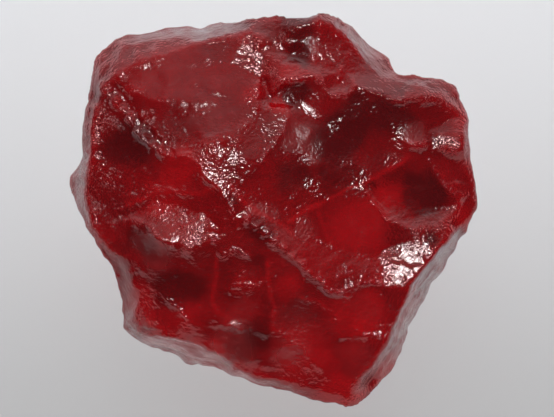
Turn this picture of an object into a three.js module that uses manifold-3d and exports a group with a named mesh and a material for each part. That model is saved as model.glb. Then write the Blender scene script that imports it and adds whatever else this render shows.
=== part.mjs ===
// A rough pyrope garnet: one broken lump of crystal, about 16 mm across, lying on a flat face.
//
// The stone is drawn on a plane that leans back from the ground. On that plane u runs to the
// right, v runs up the slope, and a height stands off the plane towards the viewer's side.
// Every ridge, ledge and crease is a wire: a line of points, each with its own height.
// One skin is stretched over the wires of the front, and another over the wires of the back.
// The two skins meet along the girdle, and the stone is what lies between them, less the chips
// scooped out of its sides and back. It is cut off flat at the ground. Lengths are in
// millimetres, and +Z is up.

import * as THREE from 'three';
import { mergeVertices } from 'three/addons/utils/BufferGeometryUtils.js';
import Module from 'manifold-3d';

// ---------------------------------------------------------------- driving dimensions

const LEAN = THREE.MathUtils.degToRad(60); // the plane's normal, above the horizontal
const CENTRE_HEIGHT = 5.5; // height of the plane's middle above the ground

const HALF_WIDTH = 8.8; // half the side of the square that the skins are stretched in
const GRID_CELLS = [0.4, 0.2, 0.1]; // grid spacings, coarse to fine
const GRID_SWEEPS = [300, 150, 100]; // relaxation sweeps at each spacing
const OVER_RELAXATION = 1.85;
const OUTER_SLOPE = 4; // how steeply a skin runs on past the girdle
const GIRDLE_MARGIN = 0.06; // how far past the girdle a skin stays level
const ROUNDING_PASSES = 2; // passes that round the ridges, by about 0.1 mm

const SPHERE_DETAIL = 22; // subdivisions of the icosahedron that carries the surface
const FRONT_SHARE = 0.44; // part of the sphere that becomes the front
const SIDE_SHARE = 0.27; // part of the sphere that becomes the sides
const FRONT_TILT = THREE.MathUtils.degToRad(25); // lean of the probes at the front's rim
const SIDE_TILT = THREE.MathUtils.degToRad(120); // lean of the probes at the back's rim
const FRONT_CORE = 4.9; // radius that the probes start from at the front's rim
const BACK_CORE = 4.0; // radius that the probes start from at the back's rim
const CORE_HEIGHT = -0.5; // height of the disc that all probes start from
const PROBE_STEP = 0.1;
const PROBE_REACH = 14;
const PROBE_HALVINGS = 24;

const GARNET_RED = 0x7d1219;

// ---------------------------------------------------------------- the girdle and the wires
// Each point is [u, v, height]. A hollow is [u, v, radius, depth]. A chip is the azimuth and the
// tilt, in degrees, of the place that it is broken out of, then its radius and its depth.

const GIRDLE = [
  [-7.44, 4.97, 1.6], [-7.36, 5.65, 1.4], [-7, 6.26, 1.3], [-6.44, 6.72, 1.2], [-6.04, 6.86, 1.1],
  [-4.98, 7, 0.9], [-4.4, 7.17, 0.6], [-3.2, 7.22, 0.3], [-2.4, 7.37, 0.7], [-1.6, 7.38, 1.8],
  [-1.1, 7.55, 2.2], [-0.49, 7.63, 2.5], [0.64, 7.55, 2.95], [1.65, 7.65, 2.9], [2.43, 7.53, 2.3],
  [2.8, 7.2, 1.8], [3.5, 6.62, 1], [4, 6.22, 1], [4.4, 5.86, 1.4], [4.62, 5.42, 2], [4.79, 5.32, 2.3],
  [5.91, 5.22, 2.2], [6.55, 5.16, 2.1], [6.98, 4.82, 2.1], [7.08, 4.58, 2.2], [7.38, 4.19, 2.3],
  [7.52, 3.51, 2.4], [7.6, 2.73, 2.65], [7.76, 1.72, 2.5], [7.88, 0.71, 2.4], [7.86, -0.08, 2.35],
  [7.6, -0.75, 2.3], [7.26, -1.31, 1.4], [6.81, -1.99, -0.2], [6.4, -2.72, -1.4], [5.97, -3.56, -1.9],
  [5.8, -4.15, -1.9], [5.42, -4.75, -1.7], [5.07, -5.5, -1.2], [4.6, -6.4, 0], [4.15, -6.8, 0.9],
  [3.95, -7.14, 1.2], [3.5, -7.58, 1.8], [3.05, -7.85, 2.1], [2.6, -7.87, 2.25], [2.05, -7.66, 2.25],
  [1.42, -7.56, 2.15], [0.64, -7.25, 2], [0.25, -7.08, 1.9], [-0.9, -6.97, 1.3], [-1.9, -6.7, -0.4],
  [-2.5, -6.55, -1.3], [-3.3, -6.3, -1.9], [-4.3, -5.86, -2.1], [-4.98, -5.62, -1.8],
  [-5.65, -5.2, -0.8], [-5.99, -4.83, 0.2], [-6.16, -4.23, 1], [-6.25, -3.5, 1.5], [-6.3, -2.88, 1.9],
  [-6.6, -2.25, 2.2], [-7.05, -1.71, 2.3], [-7.33, -1.15, 2.3], [-7.63, -0.58, 2], [-7.95, 0.1, 1.2],
  [-8.17, 0.85, 0.3], [-8.15, 1.35, 0.3], [-7.92, 1.76, 1], [-7.7, 2.12, 1.7], [-7.71, 2.73, 1.8],
  [-7.64, 3.6, 1.9], [-7.52, 4.4, 1.9],
];

const FRONT_WIRES = {
  topShoulder: [
    [-6.9, 4.75, 2.5], [-6.55, 5.1, 2.78], [-6.1, 5.45, 2.88], [-5.6, 5.75, 2.9], [-5, 5.95, 2.9],
    [-4.3, 6.15, 2.9], [-3.6, 6.42, 2.88], [-2.9, 6.62, 2.87], [-2.3, 6.82, 2.86], [-1.75, 6.85, 2.94],
  ],
  topStreak: [
    [-7.2, 5.1, 2.05], [-6.8, 5.7, 2.15], [-6.2, 6.15, 2.2], [-5.5, 6.45, 2.12], [-4.8, 6.6, 2.05],
    [-4, 6.78, 2], [-3.2, 6.92, 1.95], [-2.4, 7.08, 2], [-1.6, 7.14, 2.3],
  ],
  topStreakHigh: [
    [-6.4, 5.75, 2.52], [-5.6, 6.1, 2.54], [-4.9, 6.28, 2.5], [-4.1, 6.48, 2.46], [-3.3, 6.7, 2.45],
  ],
  lumpRim: [
    [-1.75, 6.85, 2.98], [-1.5, 6.9, 2.95], [-1.1, 7.07, 2.88], [-0.75, 7.22, 2.8], [-0.4, 7.31, 2.8],
    [0, 7.3, 2.88], [0.3, 7.2, 3.1], [0.48, 7.1, 3.28], [0.42, 6.8, 3.25],
  ],
  lumpFoot: [[-1.4, 6.5, 3.15], [-0.75, 6.58, 3.12], [-0.3, 6.52, 3.12], [0.1, 6.6, 3.05]],
  rightLumpRim: [
    [0.48, 7.15, 3.32], [1, 7.35, 3.42], [1.5, 7.4, 3.38], [2.2, 7.28, 3.14], [2.6, 7, 3],
    [3, 6.55, 2.85], [3.15, 6.3, 2.78], [3.3, 6.05, 2.75], [3.5, 5.78, 2.76], [3.78, 5.5, 2.8],
    [4.1, 5.28, 2.84], [4.4, 5.05, 2.95],
  ],
  flankStreak: [
    [2.85, 6.85, 2], [3.35, 6.35, 1.95], [3.75, 5.95, 2], [4.1, 5.62, 2.15], [4.45, 5.3, 2.4],
  ],
  leftShoulder: [
    [-6.9, 4.75, 2.5], [-7.1, 4.3, 2.55], [-7.28, 3.8, 2.55], [-7.38, 3.1, 2.65], [-7.42, 2.5, 2.7],
    [-7.45, 2, 2.65], [-7.6, 1.3, 2.4], [-7.66, 0.75, 2.3], [-7.58, 0.28, 2.45], [-7.46, -0.1, 2.55],
    [-7.25, -0.65, 2.65], [-6.98, -1.15, 2.7], [-6.65, -1.6, 2.7], [-6.3, -2, 2.72],
    [-5.98, -2.45, 2.78], [-5.72, -2.85, 2.8], [-5.58, -3.2, 2.8], [-5.56, -3.6, 2.7],
    [-5.64, -4.1, 2.4], [-5.72, -4.45, 2.1], [-5.6, -4.85, 2],
  ],
  leftStreak: [
    [-6.85, -1.65, 2.3], [-6.45, -2.15, 2.3], [-6.2, -2.6, 2.2], [-6.05, -3.2, 2], [-6.02, -3.8, 1.7],
  ],
  upperLeftCrest: [
    [-6.9, 4.75, 2.5], [-6.52, 4.4, 2.74], [-6.13, 3.95, 2.98], [-5.74, 3.42, 3.25],
    [-5.42, 2.97, 3.47], [-5, 2.52, 3.72], [-4.5, 2.15, 3.96], [-4.1, 2.05, 4.12], [-3.6, 2, 4.26],
    [-3.1, 1.8, 4.4], [-2.8, 1.35, 4.45], [-2.5, 0.98, 4.48],
  ],
  crestStrip: [
    [-6.3, 4.6, 2.73], [-5.91, 4.15, 2.96], [-5.52, 3.62, 3.23], [-5.2, 3.17, 3.45],
    [-4.78, 2.72, 3.7], [-4.28, 2.35, 3.94],
  ],
  faceSwell: [
    [-5.6, 4.6, 3.3], [-4.6, 4.3, 3.55], [-3.5, 4.2, 3.72], [-2.5, 4.2, 3.82], [-1.5, 4.3, 3.8],
  ],
  bandLeft: [
    [-0.5, 5.6, 3.3], [-0.6, 5.1, 3.5], [-0.7, 4.5, 3.7], [-0.8, 3.95, 3.87], [-0.97, 3.55, 4.01],
    [-1.35, 3.2, 4.15], [-1.9, 2.85, 4.3], [-2.35, 2.45, 4.36], [-2.75, 2.05, 4.4], [-3.1, 1.8, 4.4],
  ],
  cornerFace: [[-2.95, 2.4, 4.32], [-2.75, 2.7, 4.3], [-2.3, 2.85, 4.3]],
  bandRight: [
    [0.45, 4, 3.76], [0.4, 3.6, 3.88], [0.3, 3.25, 3.99], [0.12, 2.85, 4.1], [-0.08, 2.53, 4.19],
    [-0.35, 2.2, 4.28], [-0.62, 1.9, 4.35], [-1, 1.58, 4.41], [-1.3, 1.35, 4.43], [-1.55, 1.08, 4.45],
  ],
  bandStrip: [
    [0.18, 3.7, 3.87], [-0.1, 3.1, 4.05], [-0.45, 2.5, 4.22], [-0.95, 2, 4.36], [-1.4, 1.65, 4.44],
  ],
  bandHead: [[-0.8, 3.95, 3.87], [-0.3, 3.97, 3.79], [0.1, 3.92, 3.79], [0.45, 4, 3.76]],
  bandNotch: [[-0.62, 4.2, 3.6], [-0.1, 4.12, 3.55], [0.4, 4.15, 3.5], [0.7, 4.12, 3.48]],
  bandFoot: [[-1.55, 1.08, 4.45], [-1.72, 1, 4.46], [-2.1, 1.2, 4.46], [-2.35, 1.6, 4.44]],
  crestUpper: [
    [-1.55, 1.08, 4.45], [-1.35, 0.5, 4.42], [-1, 0.1, 4.36], [-0.5, -0.28, 4.28], [0, -0.6, 4.18],
    [0.5, -0.9, 4.05], [1, -1.1, 3.93], [1.5, -1.3, 3.82], [2.1, -1.55, 3.7], [3, -1.93, 3.55],
    [3.7, -2.05, 3.47],
  ],
  crestLower: [
    [-2.5, 0.98, 4.48], [-2.1, 0.45, 4.52], [-1.78, -0.05, 4.54], [-1.66, -0.33, 4.55],
    [-1.3, -0.47, 4.53], [-0.98, -0.65, 4.5], [-0.7, -0.86, 4.48], [-0.4, -1.1, 4.45],
    [-0.12, -1.36, 4.42], [0.25, -1.58, 4.36], [0.62, -1.86, 4.3], [0.95, -2.1, 4.23],
    [1.1, -2.35, 4.18], [1.6, -2.8, 4.05], [1.85, -3.15, 3.97], [2.1, -3.4, 3.9], [2.45, -3.44, 3.86],
    [2.7, -3.2, 3.84], [3.1, -3.04, 3.78], [4.05, -3, 3.62],
  ],
  crestSecond: [[-0.75, -0.5, 4.38], [-0.35, -0.9, 4.4], [0, -1.12, 4.36], [0.25, -1.38, 4.33]],
  crestFoot: [
    [-2.6, 0.55, 4.3], [-2.3, 0, 4.33], [-2, -0.5, 4.34], [-1.6, -0.85, 4.32], [-1.1, -1.15, 4.27],
    [-0.6, -1.5, 4.22], [0, -1.9, 4.14], [0.6, -2.3, 4.05], [1, -2.65, 3.95], [1.5, -3.2, 3.8],
    [2.1, -3.65, 3.7], [2.6, -3.68, 3.66], [3.3, -3.3, 3.62], [4.1, -3.25, 3.5],
  ],
  scoopEdge: [
    [0.5, -0.9, 4.05], [0.55, -0.6, 4.03], [1.2, -0.15, 3.9], [1.6, 0.1, 3.83], [2, 0.36, 3.76],
    [2.5, 0.6, 3.68], [3, 0.84, 3.6], [3.38, 0.98, 3.56], [3.9, 1.25, 3.46], [4.5, 1.62, 3.36],
    [5, 1.98, 3.27], [5.32, 2.38, 3.22],
  ],
  scoopHead: [
    [0.45, 4, 3.76], [0.75, 4.12, 3.62], [1.1, 3.9, 3.66], [1.5, 3.62, 3.66], [1.95, 3.38, 3.62],
    [2.45, 3.35, 3.63], [3, 3.5, 3.6], [3.8, 3.75, 3.56], [4.6, 3.9, 3.44], [5.3, 3.8, 3.27],
    [6, 3.85, 3.05], [7, 3.7, 2.7],
  ],
  scoopWrinkle: [[1.05, 1.25, 3.9], [1.35, 1, 3.9], [1.55, 0.7, 3.86], [2, 0.42, 3.77]],
  scoopGrain: [[0.6, 3.3, 3.86], [0.85, 2.95, 3.91], [1.15, 2.75, 3.92], [1.35, 3.1, 3.87]],
  scoopStreak: [[0.55, 3.1, 3.88], [0.9, 2.5, 3.97], [1.5, 1.9, 3.94], [2.1, 1.4, 3.82]],
  redFaceLeft: [
    [1.6, 0.1, 3.83], [1.72, -0.3, 3.78], [1.82, -0.85, 3.75], [1.98, -1.2, 3.72], [2.1, -1.55, 3.7],
  ],
  hollowLeft: [
    [3.38, 0.98, 3.56], [3.42, 0.72, 3.6], [3.66, 0.5, 3.6], [3.86, 0.1, 3.6], [4.12, -0.08, 3.58],
    [4.42, -0.48, 3.55], [4.85, -0.62, 3.5], [5.15, -0.78, 3.46], [5.32, -0.95, 3.44],
    [5.48, -1.3, 3.43],
  ],
  hollowInner: [[3.75, 0.85, 3.36], [4.05, 0.3, 3.34], [4.4, 0, 3.3]],
  hollowFloor: [
    [4.42, -0.48, 3.55], [5, -0.36, 3.25], [5.5, -0.26, 3.08], [6, -0.12, 2.93], [6.5, -0.02, 2.8],
    [7.02, 0.05, 2.7],
  ],
  hollowLowRim: [
    [5.15, -0.78, 3.46], [5.7, -0.76, 3.38], [6.05, -0.88, 3.32], [6.35, -0.88, 3.24],
    [6.62, -0.68, 3.1],
  ],
  hollowRight: [
    [5.95, 1.98, 3.1], [6.18, 1.62, 3.08], [6.42, 1.25, 3.05], [6.7, 0.85, 2.98], [6.95, 0.6, 2.92],
    [7.2, 0.38, 2.82], [7.2, 0.1, 2.78], [7.05, -0.15, 2.82], [6.85, -0.42, 2.95], [6.62, -0.68, 3.1],
  ],
  hollowTop: [[5.32, 2.38, 3.22], [5.65, 2.18, 3.16], [5.95, 1.98, 3.1]],
  rimCorner: [[6.62, -0.68, 3.1], [6.9, -1, 3.1], [6.75, -1.35, 3.3]],
  rightShoulder: [
    [6.55, 5, 2.3], [6.9, 4.6, 2.4], [7.1, 4.1, 2.52], [7.22, 3.5, 2.68], [7.29, 2.95, 3.08],
    [7.36, 2.3, 3.12], [7.45, 1.6, 2.7], [7.55, 1, 2.58], [7.5, 0.55, 2.62], [7.55, 0, 2.52],
    [7.38, -0.55, 2.65], [7.12, -0.95, 2.87], [6.75, -1.35, 3.3], [6.25, -1.9, 3.5],
  ],
  rightFold: [[6.1, 2.12, 3.05], [6.65, 1.85, 2.9], [7.1, 1.48, 2.75], [7.45, 1.1, 2.58]],
  rightFoldLow: [[6.7, 0.85, 2.98], [7.1, 1.1, 2.85], [7.32, 0.95, 2.72], [7.5, 0.55, 2.6]],
  upperRightRidge: [
    [1.82, 4.6, 3.7], [2.15, 4.42, 3.85], [2.55, 4.48, 3.87], [3, 4.85, 3.65], [3.35, 4.7, 3.69],
    [3.85, 4.58, 3.67], [4.3, 4.46, 3.62], [5, 4.35, 3.5], [5.6, 4.36, 3.36], [6.1, 4.42, 3.18],
    [6.5, 4.22, 3.05], [7, 3.95, 2.7],
  ],
  blockTop: [
    [4.4, 5.05, 2.9], [4.75, 4.82, 3.1], [5.05, 4.76, 3.1], [5.5, 4.86, 2.95], [6, 4.95, 2.6],
    [6.55, 5, 2.3],
  ],
  blockTopEdge: [[4.1, 5.28, 2.8], [4.85, 5.16, 2.45], [5.9, 5.09, 2.3], [6.55, 5, 2.35]],
  hazyPatchRim: [
    [4.8, 3.2, 3.33], [5, 2.8, 3.38], [5.32, 2.52, 3.42], [5.7, 2.48, 3.38], [5.95, 2.6, 3.24],
  ],
  rightSpur: [
    [6, 2.55, 3.12], [6.3, 2.38, 3.13], [6.65, 2.36, 3.15], [7, 2.28, 3.17], [7.3, 2.25, 3.14],
  ],
  rightKnob: [[6.4, 2.72, 3.08], [6.85, 2.75, 3.1], [7.2, 2.88, 3.1]],
  smallKnobs: [[6, 3.1, 2.95], [6.5, 3.3, 2.85], [6.75, 3.55, 2.8], [7, 3.7, 2.65]],
  ledge: [
    [-0.6, 5.2, 3], [-0.3, 4.45, 3.4], [-0.15, 4.75, 3.7], [0.02, 5.12, 3.65], [0.45, 5, 3.75],
    [0.95, 5.02, 3.76], [1.2, 5.25, 3.72], [1.62, 5.15, 3.78], [1.78, 4.85, 3.83], [1.82, 4.6, 3.83],
  ],
  ledgeFoot: [
    [-0.1, 4.5, 3.3], [0.1, 4.82, 3.25], [0.5, 4.8, 3.35], [1, 4.8, 3.6], [1.5, 4.75, 3.68],
    [1.7, 4.3, 3.7],
  ],
  upperTerrace: [
    [-0.5, 5.6, 3.3], [0, 5.65, 3.42], [0.6, 5.65, 3.48], [1.2, 5.7, 3.4], [1.6, 5.55, 3.42],
    [2.2, 5.55, 3.32], [2.8, 5.45, 3.22], [3.4, 5.35, 3.05], [4.1, 5.28, 2.84],
  ],
  roundHollow: [
    [1.82, 4.6, 3.7], [1.75, 5, 3.62], [2.05, 5.2, 3.5], [2.5, 5.12, 3.45], [2.75, 4.8, 3.5],
    [2.55, 4.48, 3.87],
  ],
  upperHollowRim: [
    [0.1, 6.6, 3.15], [0.6, 6.5, 3.28], [1.1, 6.5, 3.27], [1.45, 6.15, 3.34], [1.6, 5.55, 3.42],
  ],
  upperRib: [[1.3, 6.9, 3.3], [1.8, 6.75, 3.22], [2.35, 6.5, 3.1], [2.6, 6.15, 3.1], [2.8, 5.85, 3.12]],
  leftLedge: [
    [-6.4, -0.15, 2.95], [-5.75, 0.15, 3.25], [-5, 0.45, 3.55], [-4.3, 0.68, 3.8], [-3.6, 0.72, 4.02],
    [-3.1, 0.75, 4.17], [-2.7, 0.88, 4.33], [-2.5, 0.98, 4.48],
  ],
  leftLedgeFoot: [
    [-6.25, -0.42, 2.92], [-5.9, -0.15, 3.05], [-5.5, 0.05, 3.22], [-5, 0.22, 3.4], [-4.4, 0.32, 3.62],
    [-3.8, 0.34, 3.8], [-3.3, 0.28, 3.93], [-2.85, 0.1, 4.05], [-2.6, 0.55, 4.3],
  ],
  domeCrest: [
    [-6.25, -0.42, 2.92], [-5.6, -0.42, 3.33], [-5.2, -0.5, 3.57], [-4.85, -0.85, 3.86],
    [-4.5, -1.27, 3.965], [-4.1, -1.47, 4], [-3.75, -1.47, 4.01], [-3.4, -1.64, 4.07],
    [-3.1, -1.52, 4.08], [-2.65, -1.25, 4.15], [-2.35, -1.4, 4.2], [-2.05, -1.1, 4.24],
    [-2, -0.5, 4.34],
  ],
  domeFace: [
    [-4.65, -1, 3.9], [-4.05, -0.9, 3.925], [-3.65, -0.98, 3.95], [-3.3, -1.15, 4.02],
    [-2.95, -1.1, 4.04],
  ],
  domeRim: [[-4.4, -0.1, 3.65], [-3.6, 0.1, 3.82], [-2.95, -0.2, 3.98], [-2.3, -0.6, 4.15]],
  leftFaceFold: [[-5.15, 1.55, 3.5], [-4.6, 1.12, 3.66], [-4.1, 0.9, 3.8], [-3.6, 0.72, 4.02]],
  lowWedge: [
    [-2.35, -1.35, 4.2], [-2.25, -1.95, 4.08], [-1.95, -1.7, 4.16], [-1.5, -1.72, 4.17],
    [-1.1, -1.92, 4.14], [-0.7, -1.85, 4.14], [-0.3, -1.68, 4.2],
  ],
  lowWedgeFoot: [
    [-2.1, -2.2, 3.94], [-1.6, -2.05, 3.98], [-1.1, -2.2, 3.96], [-0.6, -2.2, 4], [-0.1, -2.2, 4.04],
  ],
  streakLedge: [
    [-6.55, -1.5, 2.66], [-6.2, -1.72, 2.84], [-5.9, -1.9, 3], [-5.3, -2.12, 3.26], [-4.9, -2.28, 3.4],
    [-4.4, -2.4, 3.53], [-3.75, -2.66, 3.62],
  ],
  windowEdge: [
    [-5.5, -3.15, 2.8], [-5, -3.12, 3.05], [-4.5, -3.42, 3.18], [-4.1, -3.68, 3.28], [-3.85, -4, 3.28],
    [-3.6, -4.3, 3.25], [-3.3, -4.55, 3.2], [-2.5, -4.6, 3.26],
  ],
  veinLeft: [
    [-2.5, -1.75, 3.98], [-2.4, -2.1, 3.88], [-2.28, -2.6, 3.78], [-2.5, -3.2, 3.64],
    [-2.5, -3.7, 3.5], [-2.28, -4.05, 3.46], [-1.95, -4.4, 3.4],
  ],
  veinRight: [
    [-0.35, -2.05, 4.04], [-0.35, -2.6, 3.95], [-0.33, -3.2, 3.82], [-0.22, -3.65, 3.73],
    [-0.1, -4, 3.65], [-0.15, -4.4, 3.55], [-0.2, -4.75, 3.46], [0.1, -4.92, 3.42],
    [0.45, -5.07, 3.37], [0.85, -5.32, 3.3], [1.12, -5.55, 3.24], [1.42, -5.97, 3.12],
    [1.75, -6.35, 3], [1.95, -6.55, 2.9],
  ],
  lowSparkle: [
    [-1.9, -3.5, 3.64], [-1.6, -3, 3.8], [-1.1, -2.95, 3.84], [-0.75, -3.1, 3.82], [-0.33, -3, 3.87],
  ],
  lowSparkleFoot: [[-1.7, -3.3, 3.68], [-1.2, -3.22, 3.72], [-0.8, -3.3, 3.72]],
  midFin: [
    [-0.2, -2.65, 3.97], [0.1, -2.9, 3.92], [0.4, -3.2, 3.85], [0.65, -3.4, 3.8], [1.1, -3.52, 3.76],
    [1.55, -3.66, 3.72], [1.85, -3.88, 3.66], [2.1, -4.18, 3.58], [2.5, -4.42, 3.5],
  ],
  lowLedge: [
    [-2.45, -4.7, 3.26], [-2.1, -4.64, 3.31], [-1.8, -4.6, 3.34], [-1.45, -4.72, 3.33],
    [-1, -4.72, 3.36], [-0.5, -4.8, 3.4], [-0.2, -4.75, 3.46],
  ],
  lowLedgeFoot: [[-2.5, -4.95, 3.1], [-2, -4.92, 3.16], [-1.4, -4.98, 3.18], [-0.8, -5.02, 3.24]],
  rightLowLedge: [
    [2.4, -5.12, 3.32], [3, -5.03, 3.3], [3.5, -5.05, 3.27], [3.95, -5.08, 3.24], [4.3, -4.95, 3.2],
  ],
  rightLowFoot: [[2.5, -5.35, 3.16], [3.1, -5.28, 3.15], [3.55, -5.38, 3.12], [3.85, -5.75, 3.02]],
  sideRidge: [
    [6.25, -1.9, 3.5], [5.85, -2.4, 3.58], [5.5, -2.9, 3.6], [5.18, -3.45, 3.5], [4.92, -3.95, 3.42],
    [4.7, -4.45, 3.34], [4.5, -4.95, 3.24], [4.28, -5.4, 3.13], [4.05, -5.85, 3.03],
    [3.85, -6.15, 2.95], [3.6, -6.42, 2.87], [3.3, -6.72, 2.78], [3.1, -7.12, 2.6], [2.95, -7.5, 2.3],
  ],
  sideCrack: [
    [6.4, -2.35, 1.6], [5.75, -3.2, 1.5], [5.25, -4, 1.4], [4.95, -4.8, 1.3], [4.55, -5.6, 1.3],
    [4.2, -6.2, 1.3], [3.85, -6.65, 1.3], [3.5, -7.1, 1.4],
  ],
  bulge: [
    [4.05, -3, 3.62], [4.4, -3.12, 3.6], [4.8, -3.22, 3.62], [5.12, -3.1, 3.62], [5.5, -2.9, 3.6],
  ],
  bulgeTop: [
    [3.7, -2.05, 3.47], [4.1, -1.8, 3.36], [4.5, -1.52, 3.31], [4.95, -1.42, 3.37], [5.48, -1.3, 3.42],
    [6.1, -1.6, 3.48], [6.25, -1.9, 3.5],
  ],
  bulgeMid: [[4.35, -2.3, 3.53], [4.9, -2.15, 3.51], [5.35, -2.2, 3.52], [5.8, -2.2, 3.54]],
  lowerLeftShoulder: [
    [-5.6, -4.85, 2], [-5.2, -5, 2.35], [-4.8, -5.05, 2.55], [-4.3, -5.18, 2.65], [-3.8, -5.3, 2.7],
    [-3.3, -5.42, 2.75], [-2.8, -5.6, 2.77], [-2.4, -5.78, 2.78], [-1.9, -6.05, 2.76],
    [-1.6, -6.35, 2.62], [-1.1, -6.62, 2.5], [-0.4, -6.78, 2.5], [0.3, -6.88, 2.53],
    [0.9, -7.08, 2.55], [1.5, -7.25, 2.55], [2.2, -7.38, 2.55], [2.95, -7.5, 2.45],
  ],
  lowerFold: [
    [-1.9, -6.05, 2.76], [-1.3, -6, 2.88], [-0.8, -5.85, 3], [0, -6, 2.98], [0.7, -6.3, 2.87],
    [1.2, -6.72, 2.72], [1.6, -6.85, 2.7], [2.2, -6.98, 2.7], [2.95, -7.02, 2.66],
  ],
  underStreak: [[-4.9, -5.3, 0.9], [-4, -5.55, 1], [-3, -5.9, 1.1], [-2, -6.3, 1.4]],
  cornerLedge: [
    [-5.85, -4.3, 1.9], [-5.72, -4.5, 2.15], [-5.4, -4.62, 2.5], [-5, -4.68, 2.75],
    [-4.5, -4.75, 2.88],
  ],
  cornerFoot: [[-5.6, -4.85, 2], [-5.2, -4.88, 2.25], [-4.7, -4.92, 2.6]],
};

const BACK_WIRES = {
  backSpine: [
    [-1.6, 7.38, 1.8], [-2.3, 6.7, -2], [-2.9, 5.4, -4], [-2.6, 4, -5.6], [-2.2, 2.8, -6.9],
    [-2.6, 1.4, -8],
  ],
  backRib: [[2.8, 7.2, 1.8], [3, 6.3, -2.4], [2.3, 4.7, -4.9], [2.6, 3.4, -6.3], [2, 1.8, -7.8]],
  backLeftRib: [
    [-7, 6.26, 1.3], [-6.4, 5.3, -2.6], [-5.5, 3.8, -4.6], [-4.9, 2, -6.2], [-4.4, 0.6, -7.4],
  ],
  backRightRib: [
    [6.98, 4.82, 2.1], [6.8, 4.2, -1.6], [5.6, 3, -4.6], [5.2, 1.5, -6.1], [4.6, 0.3, -7.1],
  ],
  leftKeel: [
    [-8.15, 1.35, 0.3], [-7.6, 0.9, -2.2], [-6.5, 0.4, -4.3], [-5.4, -0.4, -6], [-4.4, -0.8, -7],
  ],
  leftLowKeel: [[-6.6, -2.25, 2.2], [-6.3, -2.4, -2], [-5.5, -2.8, -4.2], [-4.5, -2.8, -5.6]],
  rightKeel: [
    [7.88, 0.71, 2.4], [7.6, 0.3, -1.8], [6.5, -0.4, -4.4], [5.4, -0.9, -5.9], [4.4, -1.2, -6.6],
  ],
  rightLowKeel: [[6.4, -2.72, -1.4], [5.9, -3, -3.2], [5, -3.3, -4.4], [4.2, -3, -5.2]],
  backLedge: [[-2.6, 4, -5.6], [-1.5, 4.3, -5.5], [-0.4, 3.8, -6], [0.8, 4.4, -5.5], [2.3, 4.7, -4.9]],
  backLedgeFoot: [[-2, 3.3, -6.1], [-0.4, 3.2, -6.3], [1, 3.6, -6], [2.3, 3.9, -5.6]],
  leftBelt: [[-5.5, 3.8, -4.6], [-6.4, 2.4, -4], [-7.1, 0.8, -3.4]],
  rightBelt: [[5.6, 3, -4.6], [6.5, 1.8, -4], [7.2, 0, -3.2]],
  basePlateau: [
    [-4.4, 0.6, -7.4], [-2.4, 1, -8], [2.2, 1, -8], [4.6, 0.3, -7.1], [4.4, -1.2, -6.6],
    [4.2, -3, -5.2], [3, -4.4, -4.6], [0.5, -5.2, -4.2], [-2.2, -5.2, -4.3], [-3.8, -4.2, -4.8],
    [-4.5, -2.8, -5.6], [-4.4, -0.8, -7], [-4.4, 0.6, -7.4],
  ],
  frontBase: [
    [-4.4, -5.2, -3.6], [-3.4, -5.75, -3.4], [-2.3, -6, -3.2], [-0.6, -6.3, -3], [0.9, -6.4, -2.8],
    [2.1, -6.4, -2.8], [3.2, -6.1, -3.1],
  ],
  rightBaseCorner: [[4.6, -6.4, 0], [4.4, -6.1, -2.4], [4, -5.7, -3.1], [3, -4.4, -4.6]],
  leftBaseCorner: [[-5.65, -5.2, -0.8], [-5, -4.6, -3.6], [-3.8, -4.2, -4.8]],
};

const FRONT_HOLLOWS = [
  [-4.4, 5.2, 1.2, -0.03], [-3.6, 3.1, 1, 0.05], [-6.1, 2.3, 1.3, 0.12], [-4.3, 1.35, 0.7, 0.05],
  [1.3, 2.4, 1.2, 0.05], [3.7, 2.4, 1.4, 0.1], [5.4, 0.9, 1.1, 0.16], [3.4, -0.6, 1.3, 0.06],
  [2.4, -2.3, 0.9, -0.05], [5.2, -2.2, 0.6, -0.03], [-3.9, -3.1, 1, 0.08], [-1.3, -4, 0.7, 0.06],
  [0.9, -4.3, 0.8, 0.07], [3.4, -4.2, 1, 0.06], [0.75, 5.95, 0.55, 0.28], [2.25, 4.85, 0.4, 0.08],
];

const BACK_HOLLOWS = [
  [0.2, 6, 1.5, -0.5], [-4.6, 5.6, 1.3, -0.3], [4.6, 4.9, 1.2, -0.3], [-6.6, -0.9, 1, -0.3],
  [7, -1, 1, -0.25], [-6.9, 3.2, 1.2, -0.3],
];

const CHIPS = [
  [90, 120, 30, 0.5], [54, 120, 25, 0.6], [126, 126, 25, 0.45], [90, 148, 20, 0.4], [22, 118, 20, 0.5],
  [156, 126, 18, 0.4], [352, 122, 14, 0.45], [188, 124, 14, 0.45], [326, 112, 14, 0.4],
  [212, 116, 14, 0.4], [262, 96, 7, 0.35], [76, 132, 4, 0.7], [110, 134, 4.5, 0.7], [30, 128, 4, 0.7],
];
// ---------------------------------------------------------------- stretching a skin

// The nearest point of the girdle to (u, v): how far it is, its height, and which side it is on.
function nearestGirdle(u, v) {
  let nearest = Infinity;
  let height = 0;
  let inside = false;
  for (let i = 0; i < GIRDLE.length; i++) {
    const [au, av, aHeight] = GIRDLE[i];
    const [bu, bv, bHeight] = GIRDLE[(i + 1) % GIRDLE.length];
    const along = ((u - au) * (bu - au) + (v - av) * (bv - av)) / ((bu - au) ** 2 + (bv - av) ** 2);
    const t = THREE.MathUtils.clamp(along, 0, 1);
    const distance = Math.hypot(u - au - t * (bu - au), v - av - t * (bv - av));
    if (distance < nearest) {
      nearest = distance;
      height = aHeight + t * (bHeight - aHeight);
    }
    if (av > v !== bv > v && u < au + ((v - av) * (bu - au)) / (bv - av)) inside = !inside;
  }
  return { distance: nearest, height, inside };
}

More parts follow.
